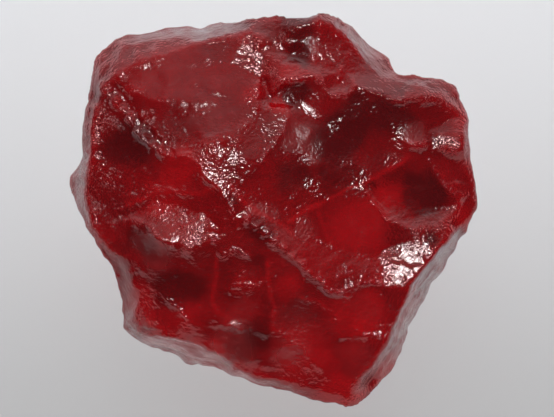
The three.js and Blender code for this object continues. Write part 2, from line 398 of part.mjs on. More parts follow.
// Marks the grid points that the wires pass, with the wires' heights.
function layWires(wires, size, cell, held, heights) {
  const sum = new Float64Array(size * size);
  const count = new Float64Array(size * size);
  for (const wire of Object.values(wires)) {
    for (let i = 0; i + 1 < wire.length; i++) {
      const [au, av, aHeight] = wire[i];
      const [bu, bv, bHeight] = wire[i + 1];
      const steps = Math.max(1, Math.ceil(Math.hypot(bu - au, bv - av) / (cell / 2)));
      for (let k = 0; k <= steps; k++) {
        const t = k / steps;
        const column = Math.round((au + t * (bu - au) + HALF_WIDTH) / cell);
        const row = Math.round((av + t * (bv - av) + HALF_WIDTH) / cell);
        sum[row * size + column] += aHeight + t * (bHeight - aHeight);
        count[row * size + column] += 1;
      }
    }
  }
  for (let k = 0; k < sum.length; k++) {
    if (count[k] === 0 || held[k]) continue;
    heights[k] = sum[k] / count[k];
    held[k] = 1;
  }
}

// The pull of the hollows: each sinks its own stretch of skin, and a negative depth lifts it.
function hollowPull(hollows, u, v) {
  let pull = 0;
  for (const [hu, hv, radius, depth] of hollows) {
    const q = ((u - hu) ** 2 + (v - hv) ** 2) / radius ** 2;
    pull += ((4 * depth) / radius ** 2) * Math.exp(-q);
  }
  return pull;
}

// Reads a grid of heights between its points.
function readGrid(grid, u, v) {
  const x = THREE.MathUtils.clamp((u + HALF_WIDTH) / grid.cell, 0, grid.size - 1.001);
  const y = THREE.MathUtils.clamp((v + HALF_WIDTH) / grid.cell, 0, grid.size - 1.001);
  const column = Math.floor(x);
  const row = Math.floor(y);
  const k = row * grid.size + column;
  const low = grid.heights[k] + (x - column) * (grid.heights[k + 1] - grid.heights[k]);
  const up = k + grid.size;
  const high = grid.heights[up] + (x - column) * (grid.heights[up + 1] - grid.heights[up]);
  return low + (y - row) * (high - low);
}

// Each free point settles at the mean of its four neighbours, less the hollows' pull.
function relax(grid, held, pull, sweeps) {
  const { size, cell, heights } = grid;
  for (let sweep = 0; sweep < sweeps; sweep++) {
    for (let row = 1; row < size - 1; row++) {
      for (let column = 1; column < size - 1; column++) {
        const k = row * size + column;
        if (held[k]) continue;
        const around = heights[k - 1] + heights[k + 1] + heights[k - size] + heights[k + size];
        const settled = (around - pull[k] * cell * cell) / 4;
        heights[k] += OVER_RELAXATION * (settled - heights[k]);
      }
    }
  }
}

// Rounds the creases of a grid by averaging along its rows and its columns.
function roundRidges(grid, passes) {
  const { size, heights } = grid;
  for (let pass = 0; pass < passes; pass++) {
    for (const step of [1, size]) {
      const before = Float64Array.from(heights);
      for (let k = size + 1; k < heights.length - size - 1; k++) {
        heights[k] = (before[k - step] + 2 * before[k] + before[k + step]) / 4;
      }
    }
  }
}

// A skin over the wires. Past the girdle it runs on, falling for the front and rising for the
// back, so that the two skins cross there.
function stretchSkin(wires, hollows, outwards) {
  let grid = null;
  GRID_CELLS.forEach((cell, level) => {
    const size = Math.round((2 * HALF_WIDTH) / cell) + 1;
    const heights = new Float64Array(size * size);
    const held = new Uint8Array(size * size);
    const pull = new Float64Array(size * size);
    for (let row = 0; row < size; row++) {
      for (let column = 0; column < size; column++) {
        const k = row * size + column;
        const u = column * cell - HALF_WIDTH;
        const v = row * cell - HALF_WIDTH;
        const girdle = nearestGirdle(u, v);
        held[k] = girdle.inside ? 0 : 1;
        pull[k] = hollowPull(hollows, u, v);
        const beyond = Math.max(girdle.distance - GIRDLE_MARGIN, 0);
        if (held[k]) heights[k] = girdle.height - outwards * OUTER_SLOPE * beyond;
        else if (grid) heights[k] = readGrid(grid, u, v);
      }
    }
    layWires(wires, size, cell, held, heights);
    grid = { size, cell, heights };
    relax(grid, held, pull, GRID_SWEEPS[level]);
  });
  roundRidges(grid, ROUNDING_PASSES);
  return grid;
}

// ---------------------------------------------------------------- the solid between the skins

const frontSkin = stretchSkin(FRONT_WIRES, FRONT_HOLLOWS, 1);
const backSkin = stretchSkin(BACK_WIRES, BACK_HOLLOWS, -1);

function isBetweenSkins(point) {
  const front = readGrid(frontSkin, point.x, point.y);
  const back = readGrid(backSkin, point.x, point.y);
  return back < point.z && point.z < front;
}

// A probe for each direction of the sphere. The front's probes start spread over a wide disc and
// lean out a little, the sides' lean over, and the back's draw together again.
function probeFor(direction) {
  const share = (1 - direction.z) / 2;
  const backShare = 1 - FRONT_SHARE - SIDE_SHARE;
  let tilt;
  let radius;
  if (share < FRONT_SHARE) {
    const q = Math.sqrt(share / FRONT_SHARE);
    tilt = FRONT_TILT * q;
    radius = FRONT_CORE * q;
  } else if (share < 1 - backShare) {
    const q = (share - FRONT_SHARE) / SIDE_SHARE;
    tilt = THREE.MathUtils.lerp(FRONT_TILT, SIDE_TILT, q);
    radius = THREE.MathUtils.lerp(FRONT_CORE, BACK_CORE, q);
  } else {
    const q = Math.sqrt((1 - share) / backShare);
    tilt = Math.PI - (Math.PI - SIDE_TILT) * q;
    radius = BACK_CORE * q;
  }
  const across = new THREE.Vector2(direction.x, direction.y);
  if (across.length() > 0) across.normalize();
  const start = new THREE.Vector3(across.x * radius, across.y * radius, CORE_HEIGHT);
  const way = new THREE.Vector3(across.x * Math.sin(tilt), across.y * Math.sin(tilt), Math.cos(tilt));
  return { start, way };
}

// Where a probe first leaves what is inside.
function leavingPoint({ start, way }, isInside) {
  const at = (distance) => start.clone().addScaledVector(way, distance);
  let near = 0;
  let far = PROBE_STEP;
  while (far < PROBE_REACH && isInside(at(far))) {
    near = far;
    far += PROBE_STEP;
  }
  for (let i = 0; i < PROBE_HALVINGS; i++) {
    const middle = (near + far) / 2;
    if (isInside(at(middle))) near = middle;
    else far = middle;
  }
  return at(near);
}

// The balls that scoop the chips out of the sides and the back.
const chipBalls = CHIPS.map(([azimuth, tilt, radius, depth]) => {
  const polar = THREE.MathUtils.degToRad(tilt);
  const turn = THREE.MathUtils.degToRad(azimuth);
  const start = new THREE.Vector3(0, 0, CORE_HEIGHT);
  const way = new THREE.Vector3(
    Math.cos(turn) * Math.sin(polar),
    Math.sin(turn) * Math.sin(polar),
    Math.cos(polar),
  );
  const centre = leavingPoint({ start, way }, isBetweenSkins).addScaledVector(way, radius - depth);
  return new THREE.Sphere(centre, radius);
});

function isInStone(point) {
  return isBetweenSkins(point) && !chipBalls.some((ball) => ball.containsPoint(point));
}

// From the leaning drawing plane to the ground's own frame.
function standUp(point) {
  const up = point.y * Math.cos(LEAN) + point.z * Math.sin(LEAN);
  const away = point.y * Math.sin(LEAN) - point.z * Math.cos(LEAN);
  return new THREE.Vector3(point.x, away, CENTRE_HEIGHT + up);
}

function stoneGeometry() {
  const sphere = new THREE.IcosahedronGeometry(1, SPHERE_DETAIL);
  sphere.deleteAttribute('normal');
  sphere.deleteAttribute('uv');
  const geometry = mergeVertices(sphere, 1e-5);
  const position = geometry.getAttribute('position');
  const direction = new THREE.Vector3();
  for (let i = 0; i < position.count; i++) {
    direction.fromBufferAttribute(position, i).normalize();
    const point = standUp(leavingPoint(probeFor(direction), isInStone));
    position.setXYZ(i, point.x, point.y, point.z);
  }
  return geometry;
}

// ---------------------------------------------------------------- the flat face it lies on

const wasm = await Module();
wasm.setup();

function cutAtGround(geometry) {
  const vertProperties = Float32Array.from(geometry.getAttribute('position').array);
  const triVerts = Uint32Array.from(geometry.getIndex().array);
  const solid = new wasm.Manifold(new wasm.Mesh({ numProp: 3, vertProperties, triVerts }));
  const mesh = solid.trimByPlane([0, 0, 1], 0).getMesh();
  const cut = new THREE.BufferGeometry();
  cut.setAttribute('position', new THREE.BufferAttribute(Float32Array.from(mesh.vertProperties), 3));
  cut.setIndex(new THREE.BufferAttribute(Uint32Array.from(mesh.triVerts), 1));
  return cut;
}

// Puts the origin on the ground, under the middle of the stone's box.
function centreOverOrigin(geometry) {
  geometry.computeBoundingBox();
  const middle = geometry.boundingBox.getCenter(new THREE.Vector3());
  geometry.translate(-middle.x, -middle.y, 0);
  return geometry;
}

// ---------------------------------------------------------------- the part

const garnetMaterial = new THREE.MeshStandardMaterial({
  color: GARNET_RED,
  roughness: 0.15,
  metalness: 0,
});

const geometry = centreOverOrigin(cutAtGround(stoneGeometry()));
geometry.computeVertexNormals();
const garnet = new THREE.Mesh(geometry, garnetMaterial);
garnet.name = 'garnet';

const group = new THREE.Group();
group.add(garnet);

export default group;
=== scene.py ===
"""Rough pyrope garnet: the looks of the stone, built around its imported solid.

The stone is drawn on a plane that leans back from the ground. On that plane u runs to the
right, v runs up the slope, and a height stands off the plane towards the viewer's side.
Every ridge, ledge and crease is a wire: a line of points (u, v, height) in millimetres.
One skin is stretched over the wires of the front and another over the wires of the back.
Probes sent out from the stone's middle find where they leave it, and so give its surface,
which is then roughened by the bowls, grain and cracks of a broken crystal.
"""

import math

import bmesh
import bpy
import numpy as np
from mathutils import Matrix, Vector


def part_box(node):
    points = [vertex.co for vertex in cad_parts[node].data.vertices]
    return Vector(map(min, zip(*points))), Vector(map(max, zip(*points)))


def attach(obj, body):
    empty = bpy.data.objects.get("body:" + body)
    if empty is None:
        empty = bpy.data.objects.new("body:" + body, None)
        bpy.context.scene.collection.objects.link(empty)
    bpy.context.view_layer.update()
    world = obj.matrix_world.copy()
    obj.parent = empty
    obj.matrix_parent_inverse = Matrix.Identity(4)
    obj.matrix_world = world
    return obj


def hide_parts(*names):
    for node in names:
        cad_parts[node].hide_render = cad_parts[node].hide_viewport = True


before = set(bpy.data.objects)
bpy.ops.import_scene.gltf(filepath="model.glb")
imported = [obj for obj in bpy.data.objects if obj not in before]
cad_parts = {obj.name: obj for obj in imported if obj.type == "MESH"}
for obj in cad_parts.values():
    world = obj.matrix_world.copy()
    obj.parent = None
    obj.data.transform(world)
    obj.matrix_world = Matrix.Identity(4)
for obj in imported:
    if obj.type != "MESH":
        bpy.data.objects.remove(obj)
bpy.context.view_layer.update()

bl_info = {
    "name": "Rough pyrope garnet",
    "version": (1, 0, 0),
    "blender": (4, 5, 0),
    "location": "3D View > Sidebar > Garnet",
    "description": "Builds a broken lump of see-through pyrope garnet and the stage it lies on",
    "category": "Add Mesh",
}

MILLIMETRE = 0.001
STONE_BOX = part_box("garnet")
TINY = 1e-9  # keeps a length from being nothing where it is divided by

# The drawing plane.
LEAN = math.radians(60.0)  # its normal, above the horizontal
CENTRE_HEIGHT = 5.5  # its middle's height above the ground, in mm

# The skins.
HALF_WIDTH = 8.8  # half the side of the square that they are stretched in, in mm
GRID_CELLS = (0.4, 0.2, 0.1, 0.05)  # mm, coarse to fine
GRID_SWEEPS = (300, 120, 80, 60)  # rounds of settling on each of those grids
OVER_RELAXATION = 1.85  # how far a point moves, as a part of the way to where it settles
OUTER_SLOPE = 4.0  # how steeply a skin runs on past the girdle
GIRDLE_MARGIN = 0.06  # mm past the girdle that a skin stays level
ROUNDING_PASSES = 3

# Noise, and the wobble that it gives to creases and to the edges of places.
NOISE_CELLS = 16  # the noise repeats after so many cells
NOISE_ORIGIN = 64.0  # cells from the noise's corner to the middle of the drawing plane
CRINKLES = ((0.6, 0.085), (0.25, 0.035))  # wavelength and reach of the creases' wobble, in mm
CRINKLE_SEED = 50
WAVERS = ((1.1, 0.3), (0.4, 0.12))  # wavelength and reach of the places' wavering edges, in mm
WAVER_SEED = 71

# The probes.
FRONT_SHARE = 0.42  # part of the sphere that becomes the front
SIDE_SHARE = 0.36  # part of the sphere that becomes the sides
FRONT_TILT = math.radians(25.0)  # lean of the probes at the front's rim
SIDE_TILT = math.radians(120.0)  # lean of the probes at the back's rim
FRONT_CORE = 4.9  # mm, where the probes start at the front's rim
BACK_CORE = 4.0  # mm, where the probes start at the back's rim
CORE_HEIGHT = -0.5  # mm, height of the disc that all probes start from
PROBE_STEP = 0.1  # mm from one try to the next
PROBE_REACH = 14.0  # mm, farther than any part of the stone
PROBE_HALVINGS = 24  # rounds that narrow down where a probe leaves the stone

# ---------------------------------------------------------------- the girdle and the wires

# The girdle, where front and back meet: (u, v, height) in mm, once around from the upper left.
GIRDLE = (
    (-7.44, 4.97, 1.6), (-7.36, 5.65, 1.4), (-7, 6.26, 1.3), (-6.44, 6.72, 1.2), (-6.04, 6.86, 1.1),
    (-4.98, 7, 0.9), (-4.4, 7.17, 0.6), (-3.2, 7.22, 0.3), (-2.4, 7.37, 0.7), (-1.6, 7.38, 1.8),
    (-1.1, 7.55, 2.2), (-0.49, 7.63, 2.5), (0.64, 7.55, 2.95), (1.65, 7.65, 2.9), (2.43, 7.53, 2.3),
    (2.8, 7.2, 1.8), (3.5, 6.62, 1), (4, 6.22, 1), (4.4, 5.86, 1.4), (4.62, 5.42, 2),
    (4.79, 5.32, 2.3), (5.91, 5.22, 2.2), (6.55, 5.16, 2.1), (6.98, 4.82, 2.1), (7.08, 4.58, 2.2),
    (7.38, 4.19, 2.3), (7.52, 3.51, 2.4), (7.6, 2.73, 2.65), (7.76, 1.72, 2.5), (7.88, 0.71, 2.4),
    (7.86, -0.08, 2.35), (7.6, -0.75, 2.3), (7.26, -1.31, 1.4), (6.81, -1.99, -0.2),
    (6.4, -2.72, -1.4), (5.97, -3.56, -1.9), (5.8, -4.15, -1.9), (5.42, -4.75, -1.7),
    (5.07, -5.5, -1.2), (4.6, -6.4, 0), (4.15, -6.8, 0.9), (3.95, -7.14, 1.2), (3.5, -7.58, 1.8),
    (3.05, -7.85, 2.1), (2.6, -7.87, 2.25), (2.05, -7.66, 2.25), (1.42, -7.56, 2.15),
    (0.64, -7.25, 2), (0.25, -7.08, 1.9), (-0.9, -6.97, 1.3), (-1.9, -6.7, -0.4),
    (-2.5, -6.55, -1.3), (-3.3, -6.3, -1.9), (-4.3, -5.86, -2.1), (-4.98, -5.62, -1.8),
    (-5.65, -5.2, -0.8), (-5.99, -4.83, 0.2), (-6.16, -4.23, 1), (-6.25, -3.5, 1.5),
    (-6.3, -2.88, 1.9), (-6.6, -2.25, 2.2), (-7.05, -1.71, 2.3), (-7.33, -1.15, 2.3),
    (-7.63, -0.58, 2), (-7.95, 0.1, 1.2), (-8.17, 0.85, 0.3), (-8.15, 1.35, 0.3), (-7.92, 1.76, 1),
    (-7.7, 2.12, 1.7), (-7.71, 2.73, 1.8), (-7.64, 3.6, 1.9), (-7.52, 4.4, 1.9),
)

# The ridges, rims and creases of the front: lines of (u, v, height) in mm.
FRONT_WIRES = {
    "top_shoulder": (
        (-6.9, 4.75, 2.5), (-6.55, 5.1, 2.78), (-6.1, 5.45, 2.88), (-5.6, 5.75, 2.9),
        (-5, 5.95, 2.9), (-4.3, 6.15, 2.9), (-3.6, 6.42, 2.88), (-2.9, 6.62, 2.87),
        (-2.3, 6.82, 2.86), (-1.75, 6.85, 2.94),
    ),
    "top_streak": (
        (-7.2, 5.1, 2.05), (-6.8, 5.7, 2.15), (-6.2, 6.15, 2.2), (-5.5, 6.45, 2.12),
        (-4.8, 6.6, 2.05), (-4, 6.78, 2), (-3.2, 6.92, 1.95), (-2.4, 7.08, 2), (-1.6, 7.14, 2.3),
    ),
    "top_streak_high": (
        (-6.4, 5.75, 2.52), (-5.6, 6.1, 2.54), (-4.9, 6.28, 2.5), (-4.1, 6.48, 2.46),
        (-3.3, 6.7, 2.45),
    ),
    "lump_rim": (
        (-1.75, 6.85, 2.98), (-1.5, 6.9, 2.95), (-1.1, 7.07, 2.88), (-0.75, 7.22, 2.8),
        (-0.4, 7.31, 2.8), (0, 7.3, 2.88), (0.3, 7.2, 3.1), (0.48, 7.1, 3.28), (0.42, 6.8, 3.25),
    ),
    "lump_foot": ((-1.4, 6.5, 3.15), (-0.75, 6.58, 3.12), (-0.3, 6.52, 3.12), (0.1, 6.6, 3.05)),
    "right_lump_rim": (
        (0.48, 7.15, 3.32), (1, 7.35, 3.42), (1.5, 7.4, 3.38), (2.2, 7.28, 3.14), (2.6, 7, 3),
        (3, 6.55, 2.85), (3.15, 6.3, 2.78), (3.3, 6.05, 2.75), (3.5, 5.78, 2.76), (3.78, 5.5, 2.8),
        (4.1, 5.28, 2.84), (4.4, 5.05, 2.95),
    ),
    "flank_streak": (
        (2.85, 6.85, 2), (3.35, 6.35, 1.95), (3.75, 5.95, 2), (4.1, 5.62, 2.15), (4.45, 5.3, 2.4),
    ),
    "left_shoulder": (
        (-6.9, 4.75, 2.5), (-7.1, 4.3, 2.55), (-7.28, 3.8, 2.55), (-7.38, 3.1, 2.65),
        (-7.42, 2.5, 2.7), (-7.45, 2, 2.65), (-7.6, 1.3, 2.4), (-7.66, 0.75, 2.3),
        (-7.58, 0.28, 2.45), (-7.46, -0.1, 2.55), (-7.25, -0.65, 2.65), (-6.98, -1.15, 2.7),
        (-6.65, -1.6, 2.7), (-6.3, -2, 2.72), (-5.98, -2.45, 2.78), (-5.72, -2.85, 2.8),
        (-5.58, -3.2, 2.8), (-5.56, -3.6, 2.7), (-5.64, -4.1, 2.4), (-5.72, -4.45, 2.1),
        (-5.6, -4.85, 2),
    ),
    "left_streak": (
        (-6.85, -1.65, 2.3), (-6.45, -2.15, 2.3), (-6.2, -2.6, 2.2), (-6.05, -3.2, 2),
        (-6.02, -3.8, 1.7),
    ),
    "upper_left_crest": (
        (-6.9, 4.75, 2.5), (-6.52, 4.4, 2.74), (-6.13, 3.95, 2.98), (-5.74, 3.42, 3.25),
        (-5.42, 2.97, 3.47), (-5, 2.52, 3.72), (-4.5, 2.15, 3.96), (-4.1, 2.05, 4.12),
        (-3.6, 2, 4.26), (-3.1, 1.8, 4.4), (-2.8, 1.35, 4.45), (-2.5, 0.98, 4.48),
    ),
    "crest_strip": (
        (-6.3, 4.6, 2.73), (-5.91, 4.15, 2.96), (-5.52, 3.62, 3.23), (-5.2, 3.17, 3.45),
        (-4.78, 2.72, 3.7), (-4.28, 2.35, 3.94),
    ),
    "face_swell": (
        (-5.6, 4.6, 3.3), (-4.6, 4.3, 3.55), (-3.5, 4.2, 3.72), (-2.5, 4.2, 3.82), (-1.5, 4.3, 3.8),
    ),
    "band_left": (
        (-0.5, 5.6, 3.3), (-0.6, 5.1, 3.5), (-0.7, 4.5, 3.7), (-0.8, 3.95, 3.87),
        (-0.97, 3.55, 4.01), (-1.35, 3.2, 4.15), (-1.9, 2.85, 4.3), (-2.35, 2.45, 4.36),
        (-2.75, 2.05, 4.4), (-3.1, 1.8, 4.4),
    ),
    "corner_face": ((-2.95, 2.4, 4.32), (-2.75, 2.7, 4.3), (-2.3, 2.85, 4.3)),
    "band_right": (
        (0.45, 4, 3.76), (0.4, 3.6, 3.88), (0.3, 3.25, 3.99), (0.12, 2.85, 4.1),
        (-0.08, 2.53, 4.19), (-0.35, 2.2, 4.28), (-0.62, 1.9, 4.35), (-1, 1.58, 4.41),
        (-1.3, 1.35, 4.43), (-1.55, 1.08, 4.45),
    ),
    "band_strip": (
        (0.18, 3.7, 3.87), (-0.1, 3.1, 4.05), (-0.45, 2.5, 4.22), (-0.95, 2, 4.36),
        (-1.4, 1.65, 4.44),
    ),
    "band_head": ((-0.8, 3.95, 3.87), (-0.3, 3.97, 3.79), (0.1, 3.92, 3.79), (0.45, 4, 3.76)),
    "band_notch": ((-0.62, 4.2, 3.6), (-0.1, 4.12, 3.55), (0.4, 4.15, 3.5), (0.7, 4.12, 3.48)),
    "band_foot": ((-1.55, 1.08, 4.45), (-1.72, 1, 4.46), (-2.1, 1.2, 4.46), (-2.35, 1.6, 4.44)),
    "crest_upper": (
        (-1.55, 1.08, 4.45), (-1.35, 0.5, 4.42), (-1, 0.1, 4.36), (-0.5, -0.28, 4.28),
        (0, -0.6, 4.18), (0.5, -0.9, 4.05), (1, -1.1, 3.93), (1.5, -1.3, 3.82), (2.1, -1.55, 3.7),
        (3, -1.93, 3.55), (3.7, -2.05, 3.47),
    ),
    "crest_lower": (
        (-2.5, 0.98, 4.48), (-2.1, 0.45, 4.52), (-1.78, -0.05, 4.54), (-1.66, -0.33, 4.55),
        (-1.3, -0.47, 4.53), (-0.98, -0.65, 4.5), (-0.7, -0.86, 4.48), (-0.4, -1.1, 4.45),
        (-0.12, -1.36, 4.42), (0.25, -1.58, 4.36), (0.62, -1.86, 4.3), (0.95, -2.1, 4.23),
        (1.1, -2.35, 4.18), (1.6, -2.8, 4.05), (1.85, -3.15, 3.97), (2.1, -3.4, 3.9),
        (2.45, -3.44, 3.86), (2.7, -3.2, 3.84), (3.1, -3.04, 3.78), (4.05, -3, 3.62),
    ),
    "crest_second": (
        (-0.75, -0.5, 4.38), (-0.35, -0.9, 4.4), (0, -1.12, 4.36), (0.25, -1.38, 4.33),
    ),
    "crest_foot": (
        (-2.6, 0.55, 4.3), (-2.3, 0, 4.33), (-2, -0.5, 4.34), (-1.6, -0.85, 4.32),
        (-1.1, -1.15, 4.27), (-0.6, -1.5, 4.22), (0, -1.9, 4.14), (0.6, -2.3, 4.05),
        (1, -2.65, 3.95), (1.5, -3.2, 3.8), (2.1, -3.65, 3.7), (2.6, -3.68, 3.66),
        (3.3, -3.3, 3.62), (4.1, -3.25, 3.5),
    ),
    "scoop_edge": (
        (0.5, -0.9, 4.05), (0.55, -0.6, 4.03), (1.2, -0.15, 3.9), (1.6, 0.1, 3.83), (2, 0.36, 3.76),
        (2.5, 0.6, 3.68), (3, 0.84, 3.6), (3.38, 0.98, 3.56), (3.9, 1.25, 3.46), (4.5, 1.62, 3.36),
        (5, 1.98, 3.27), (5.32, 2.38, 3.22),
    ),
    "scoop_head": (
        (0.45, 4, 3.76), (0.75, 4.12, 3.62), (1.1, 3.9, 3.66), (1.5, 3.62, 3.66),
        (1.95, 3.38, 3.62), (2.45, 3.35, 3.63), (3, 3.5, 3.6), (3.8, 3.75, 3.56), (4.6, 3.9, 3.44),
        (5.3, 3.8, 3.27), (6, 3.85, 3.05), (7, 3.7, 2.7),
    ),
    "scoop_wrinkle": ((1.05, 1.25, 3.9), (1.35, 1, 3.9), (1.55, 0.7, 3.86), (2, 0.42, 3.77)),
    "scoop_grain": ((0.6, 3.3, 3.86), (0.85, 2.95, 3.91), (1.15, 2.75, 3.92), (1.35, 3.1, 3.87)),
    "scoop_streak": ((0.55, 3.1, 3.88), (0.9, 2.5, 3.97), (1.5, 1.9, 3.94), (2.1, 1.4, 3.82)),
    "red_face_left": (
        (1.6, 0.1, 3.83), (1.72, -0.3, 3.78), (1.82, -0.85, 3.75), (1.98, -1.2, 3.72),
        (2.1, -1.55, 3.7),
    ),
    "hollow_left": (
        (3.38, 0.98, 3.56), (3.42, 0.72, 3.6), (3.66, 0.5, 3.6), (3.86, 0.1, 3.6),
        (4.12, -0.08, 3.58), (4.42, -0.48, 3.55), (4.85, -0.62, 3.5), (5.15, -0.78, 3.46),
        (5.32, -0.95, 3.44), (5.48, -1.3, 3.43),
    ),
    "hollow_inner": ((3.75, 0.85, 3.36), (4.05, 0.3, 3.34), (4.4, 0, 3.3)),
    "hollow_floor": (
        (4.42, -0.48, 3.55), (5, -0.36, 3.25), (5.5, -0.26, 3.08), (6, -0.12, 2.93),
        (6.5, -0.02, 2.8), (7.02, 0.05, 2.7),
    ),
    "hollow_low_rim": (
        (5.15, -0.78, 3.46), (5.7, -0.76, 3.38), (6.05, -0.88, 3.32), (6.35, -0.88, 3.24),
        (6.62, -0.68, 3.1),
    ),
    "hollow_right": (
        (5.95, 1.98, 3.1), (6.18, 1.62, 3.08), (6.42, 1.25, 3.05), (6.7, 0.85, 2.98),
        (6.95, 0.6, 2.92), (7.2, 0.38, 2.82), (7.2, 0.1, 2.78), (7.05, -0.15, 2.82),
        (6.85, -0.42, 2.95), (6.62, -0.68, 3.1),
    ),
    "hollow_top": ((5.32, 2.38, 3.22), (5.65, 2.18, 3.16), (5.95, 1.98, 3.1)),
    "rim_corner": ((6.62, -0.68, 3.1), (6.9, -1, 3.1), (6.75, -1.35, 3.3)),
    "right_shoulder": (
        (6.55, 5, 2.3), (6.9, 4.6, 2.4), (7.1, 4.1, 2.52), (7.22, 3.5, 2.68), (7.29, 2.95, 3.08),
        (7.36, 2.3, 3.12), (7.45, 1.6, 2.7), (7.55, 1, 2.58), (7.5, 0.55, 2.62), (7.55, 0, 2.52),
        (7.38, -0.55, 2.65), (7.12, -0.95, 2.87), (6.75, -1.35, 3.3), (6.25, -1.9, 3.5),
    ),
    "right_fold": ((6.1, 2.12, 3.05), (6.65, 1.85, 2.9), (7.1, 1.48, 2.75), (7.45, 1.1, 2.58)),
    "right_fold_low": ((6.7, 0.85, 2.98), (7.1, 1.1, 2.85), (7.32, 0.95, 2.72), (7.5, 0.55, 2.6)),
    "upper_right_ridge": (
        (1.82, 4.6, 3.7), (2.15, 4.42, 3.85), (2.55, 4.48, 3.87), (3, 4.85, 3.65),
        (3.35, 4.7, 3.69), (3.85, 4.58, 3.67), (4.3, 4.46, 3.62), (5, 4.35, 3.5), (5.6, 4.36, 3.36),
        (6.1, 4.42, 3.18), (6.5, 4.22, 3.05), (7, 3.95, 2.7),
    ),
    "block_top": (
        (4.4, 5.05, 2.9), (4.75, 4.82, 3.1), (5.05, 4.76, 3.1), (5.5, 4.86, 2.95), (6, 4.95, 2.6),
        (6.55, 5, 2.3),
    ),
    "block_top_edge": ((4.1, 5.28, 2.8), (4.85, 5.16, 2.45), (5.9, 5.09, 2.3), (6.55, 5, 2.35)),
    "hazy_patch_rim": (
        (4.8, 3.2, 3.33), (5, 2.8, 3.38), (5.32, 2.52, 3.42), (5.7, 2.48, 3.38), (5.95, 2.6, 3.24),
    ),
    "right_spur": (
        (6, 2.55, 3.12), (6.3, 2.38, 3.13), (6.65, 2.36, 3.15), (7, 2.28, 3.17), (7.3, 2.25, 3.14),
    ),
    "right_knob": ((6.4, 2.72, 3.08), (6.85, 2.75, 3.1), (7.2, 2.88, 3.1)),
    "small_knobs": ((6, 3.1, 2.95), (6.5, 3.3, 2.85), (6.75, 3.55, 2.8), (7, 3.7, 2.65)),
    "ledge": (
        (-0.6, 5.2, 3), (-0.3, 4.45, 3.4), (-0.15, 4.75, 3.7), (0.02, 5.12, 3.65), (0.45, 5, 3.75),
        (0.95, 5.02, 3.76), (1.2, 5.25, 3.72), (1.62, 5.15, 3.78), (1.78, 4.85, 3.83),
        (1.82, 4.6, 3.83),
    ),
    "ledge_foot": (
        (-0.1, 4.5, 3.3), (0.1, 4.82, 3.25), (0.5, 4.8, 3.35), (1, 4.8, 3.6), (1.5, 4.75, 3.68),
        (1.7, 4.3, 3.7),
    ),
    "upper_terrace": (
        (-0.5, 5.6, 3.3), (0, 5.65, 3.42), (0.6, 5.65, 3.48), (1.2, 5.7, 3.4), (1.6, 5.55, 3.42),
        (2.2, 5.55, 3.32), (2.8, 5.45, 3.22), (3.4, 5.35, 3.05), (4.1, 5.28, 2.84),
    ),
    "round_hollow": (
        (1.82, 4.6, 3.7), (1.75, 5, 3.62), (2.05, 5.2, 3.5), (2.5, 5.12, 3.45), (2.75, 4.8, 3.5),
        (2.55, 4.48, 3.87),
    ),
    "upper_hollow_rim": (
        (0.1, 6.6, 3.15), (0.6, 6.5, 3.28), (1.1, 6.5, 3.27), (1.45, 6.15, 3.34), (1.6, 5.55, 3.42),
    ),
    "upper_rib": (
        (1.3, 6.9, 3.3), (1.8, 6.75, 3.22), (2.35, 6.5, 3.1), (2.6, 6.15, 3.1), (2.8, 5.85, 3.12),
    ),
    "left_ledge": (
        (-6.4, -0.15, 2.95), (-5.75, 0.15, 3.25), (-5, 0.45, 3.55), (-4.3, 0.68, 3.8),
        (-3.6, 0.72, 4.02), (-3.1, 0.75, 4.17), (-2.7, 0.88, 4.33), (-2.5, 0.98, 4.48),
    ),
    "left_ledge_foot": (
        (-6.25, -0.42, 2.92), (-5.9, -0.15, 3.05), (-5.5, 0.05, 3.22), (-5, 0.22, 3.4),
        (-4.4, 0.32, 3.62), (-3.8, 0.34, 3.8), (-3.3, 0.28, 3.93), (-2.85, 0.1, 4.05),
        (-2.6, 0.55, 4.3),
    ),
    "dome_crest": (
        (-6.25, -0.42, 2.92), (-5.6, -0.42, 3.33), (-5.2, -0.5, 3.57), (-4.85, -0.85, 3.86),
        (-4.5, -1.27, 3.965), (-4.1, -1.47, 4), (-3.75, -1.47, 4.01), (-3.4, -1.64, 4.07),
        (-3.1, -1.52, 4.08), (-2.65, -1.25, 4.15), (-2.35, -1.4, 4.2), (-2.05, -1.1, 4.24),
        (-2, -0.5, 4.34),
    ),
    "dome_face": (
        (-4.65, -1, 3.9), (-4.05, -0.9, 3.925), (-3.65, -0.98, 3.95), (-3.3, -1.15, 4.02),
        (-2.95, -1.1, 4.04),
    ),
    "dome_rim": ((-4.4, -0.1, 3.65), (-3.6, 0.1, 3.82), (-2.95, -0.2, 3.98), (-2.3, -0.6, 4.15)),
    "left_face_fold": (
        (-5.15, 1.55, 3.5), (-4.6, 1.12, 3.66), (-4.1, 0.9, 3.8), (-3.6, 0.72, 4.02),
    ),
    "low_wedge": (
        (-2.35, -1.35, 4.2), (-2.25, -1.95, 4.08), (-1.95, -1.7, 4.16), (-1.5, -1.72, 4.17),
        (-1.1, -1.92, 4.14), (-0.7, -1.85, 4.14), (-0.3, -1.68, 4.2),
    ),
    "low_wedge_foot": (
        (-2.1, -2.2, 3.94), (-1.6, -2.05, 3.98), (-1.1, -2.2, 3.96), (-0.6, -2.2, 4),
        (-0.1, -2.2, 4.04),
    ),
    "streak_ledge": (
        (-6.55, -1.5, 2.66), (-6.2, -1.72, 2.84), (-5.9, -1.9, 3), (-5.3, -2.12, 3.26),
        (-4.9, -2.28, 3.4), (-4.4, -2.4, 3.53), (-3.75, -2.66, 3.62),
    ),
    "window_edge": (
        (-5.5, -3.15, 2.8), (-5, -3.12, 3.05), (-4.5, -3.42, 3.18), (-4.1, -3.68, 3.28),
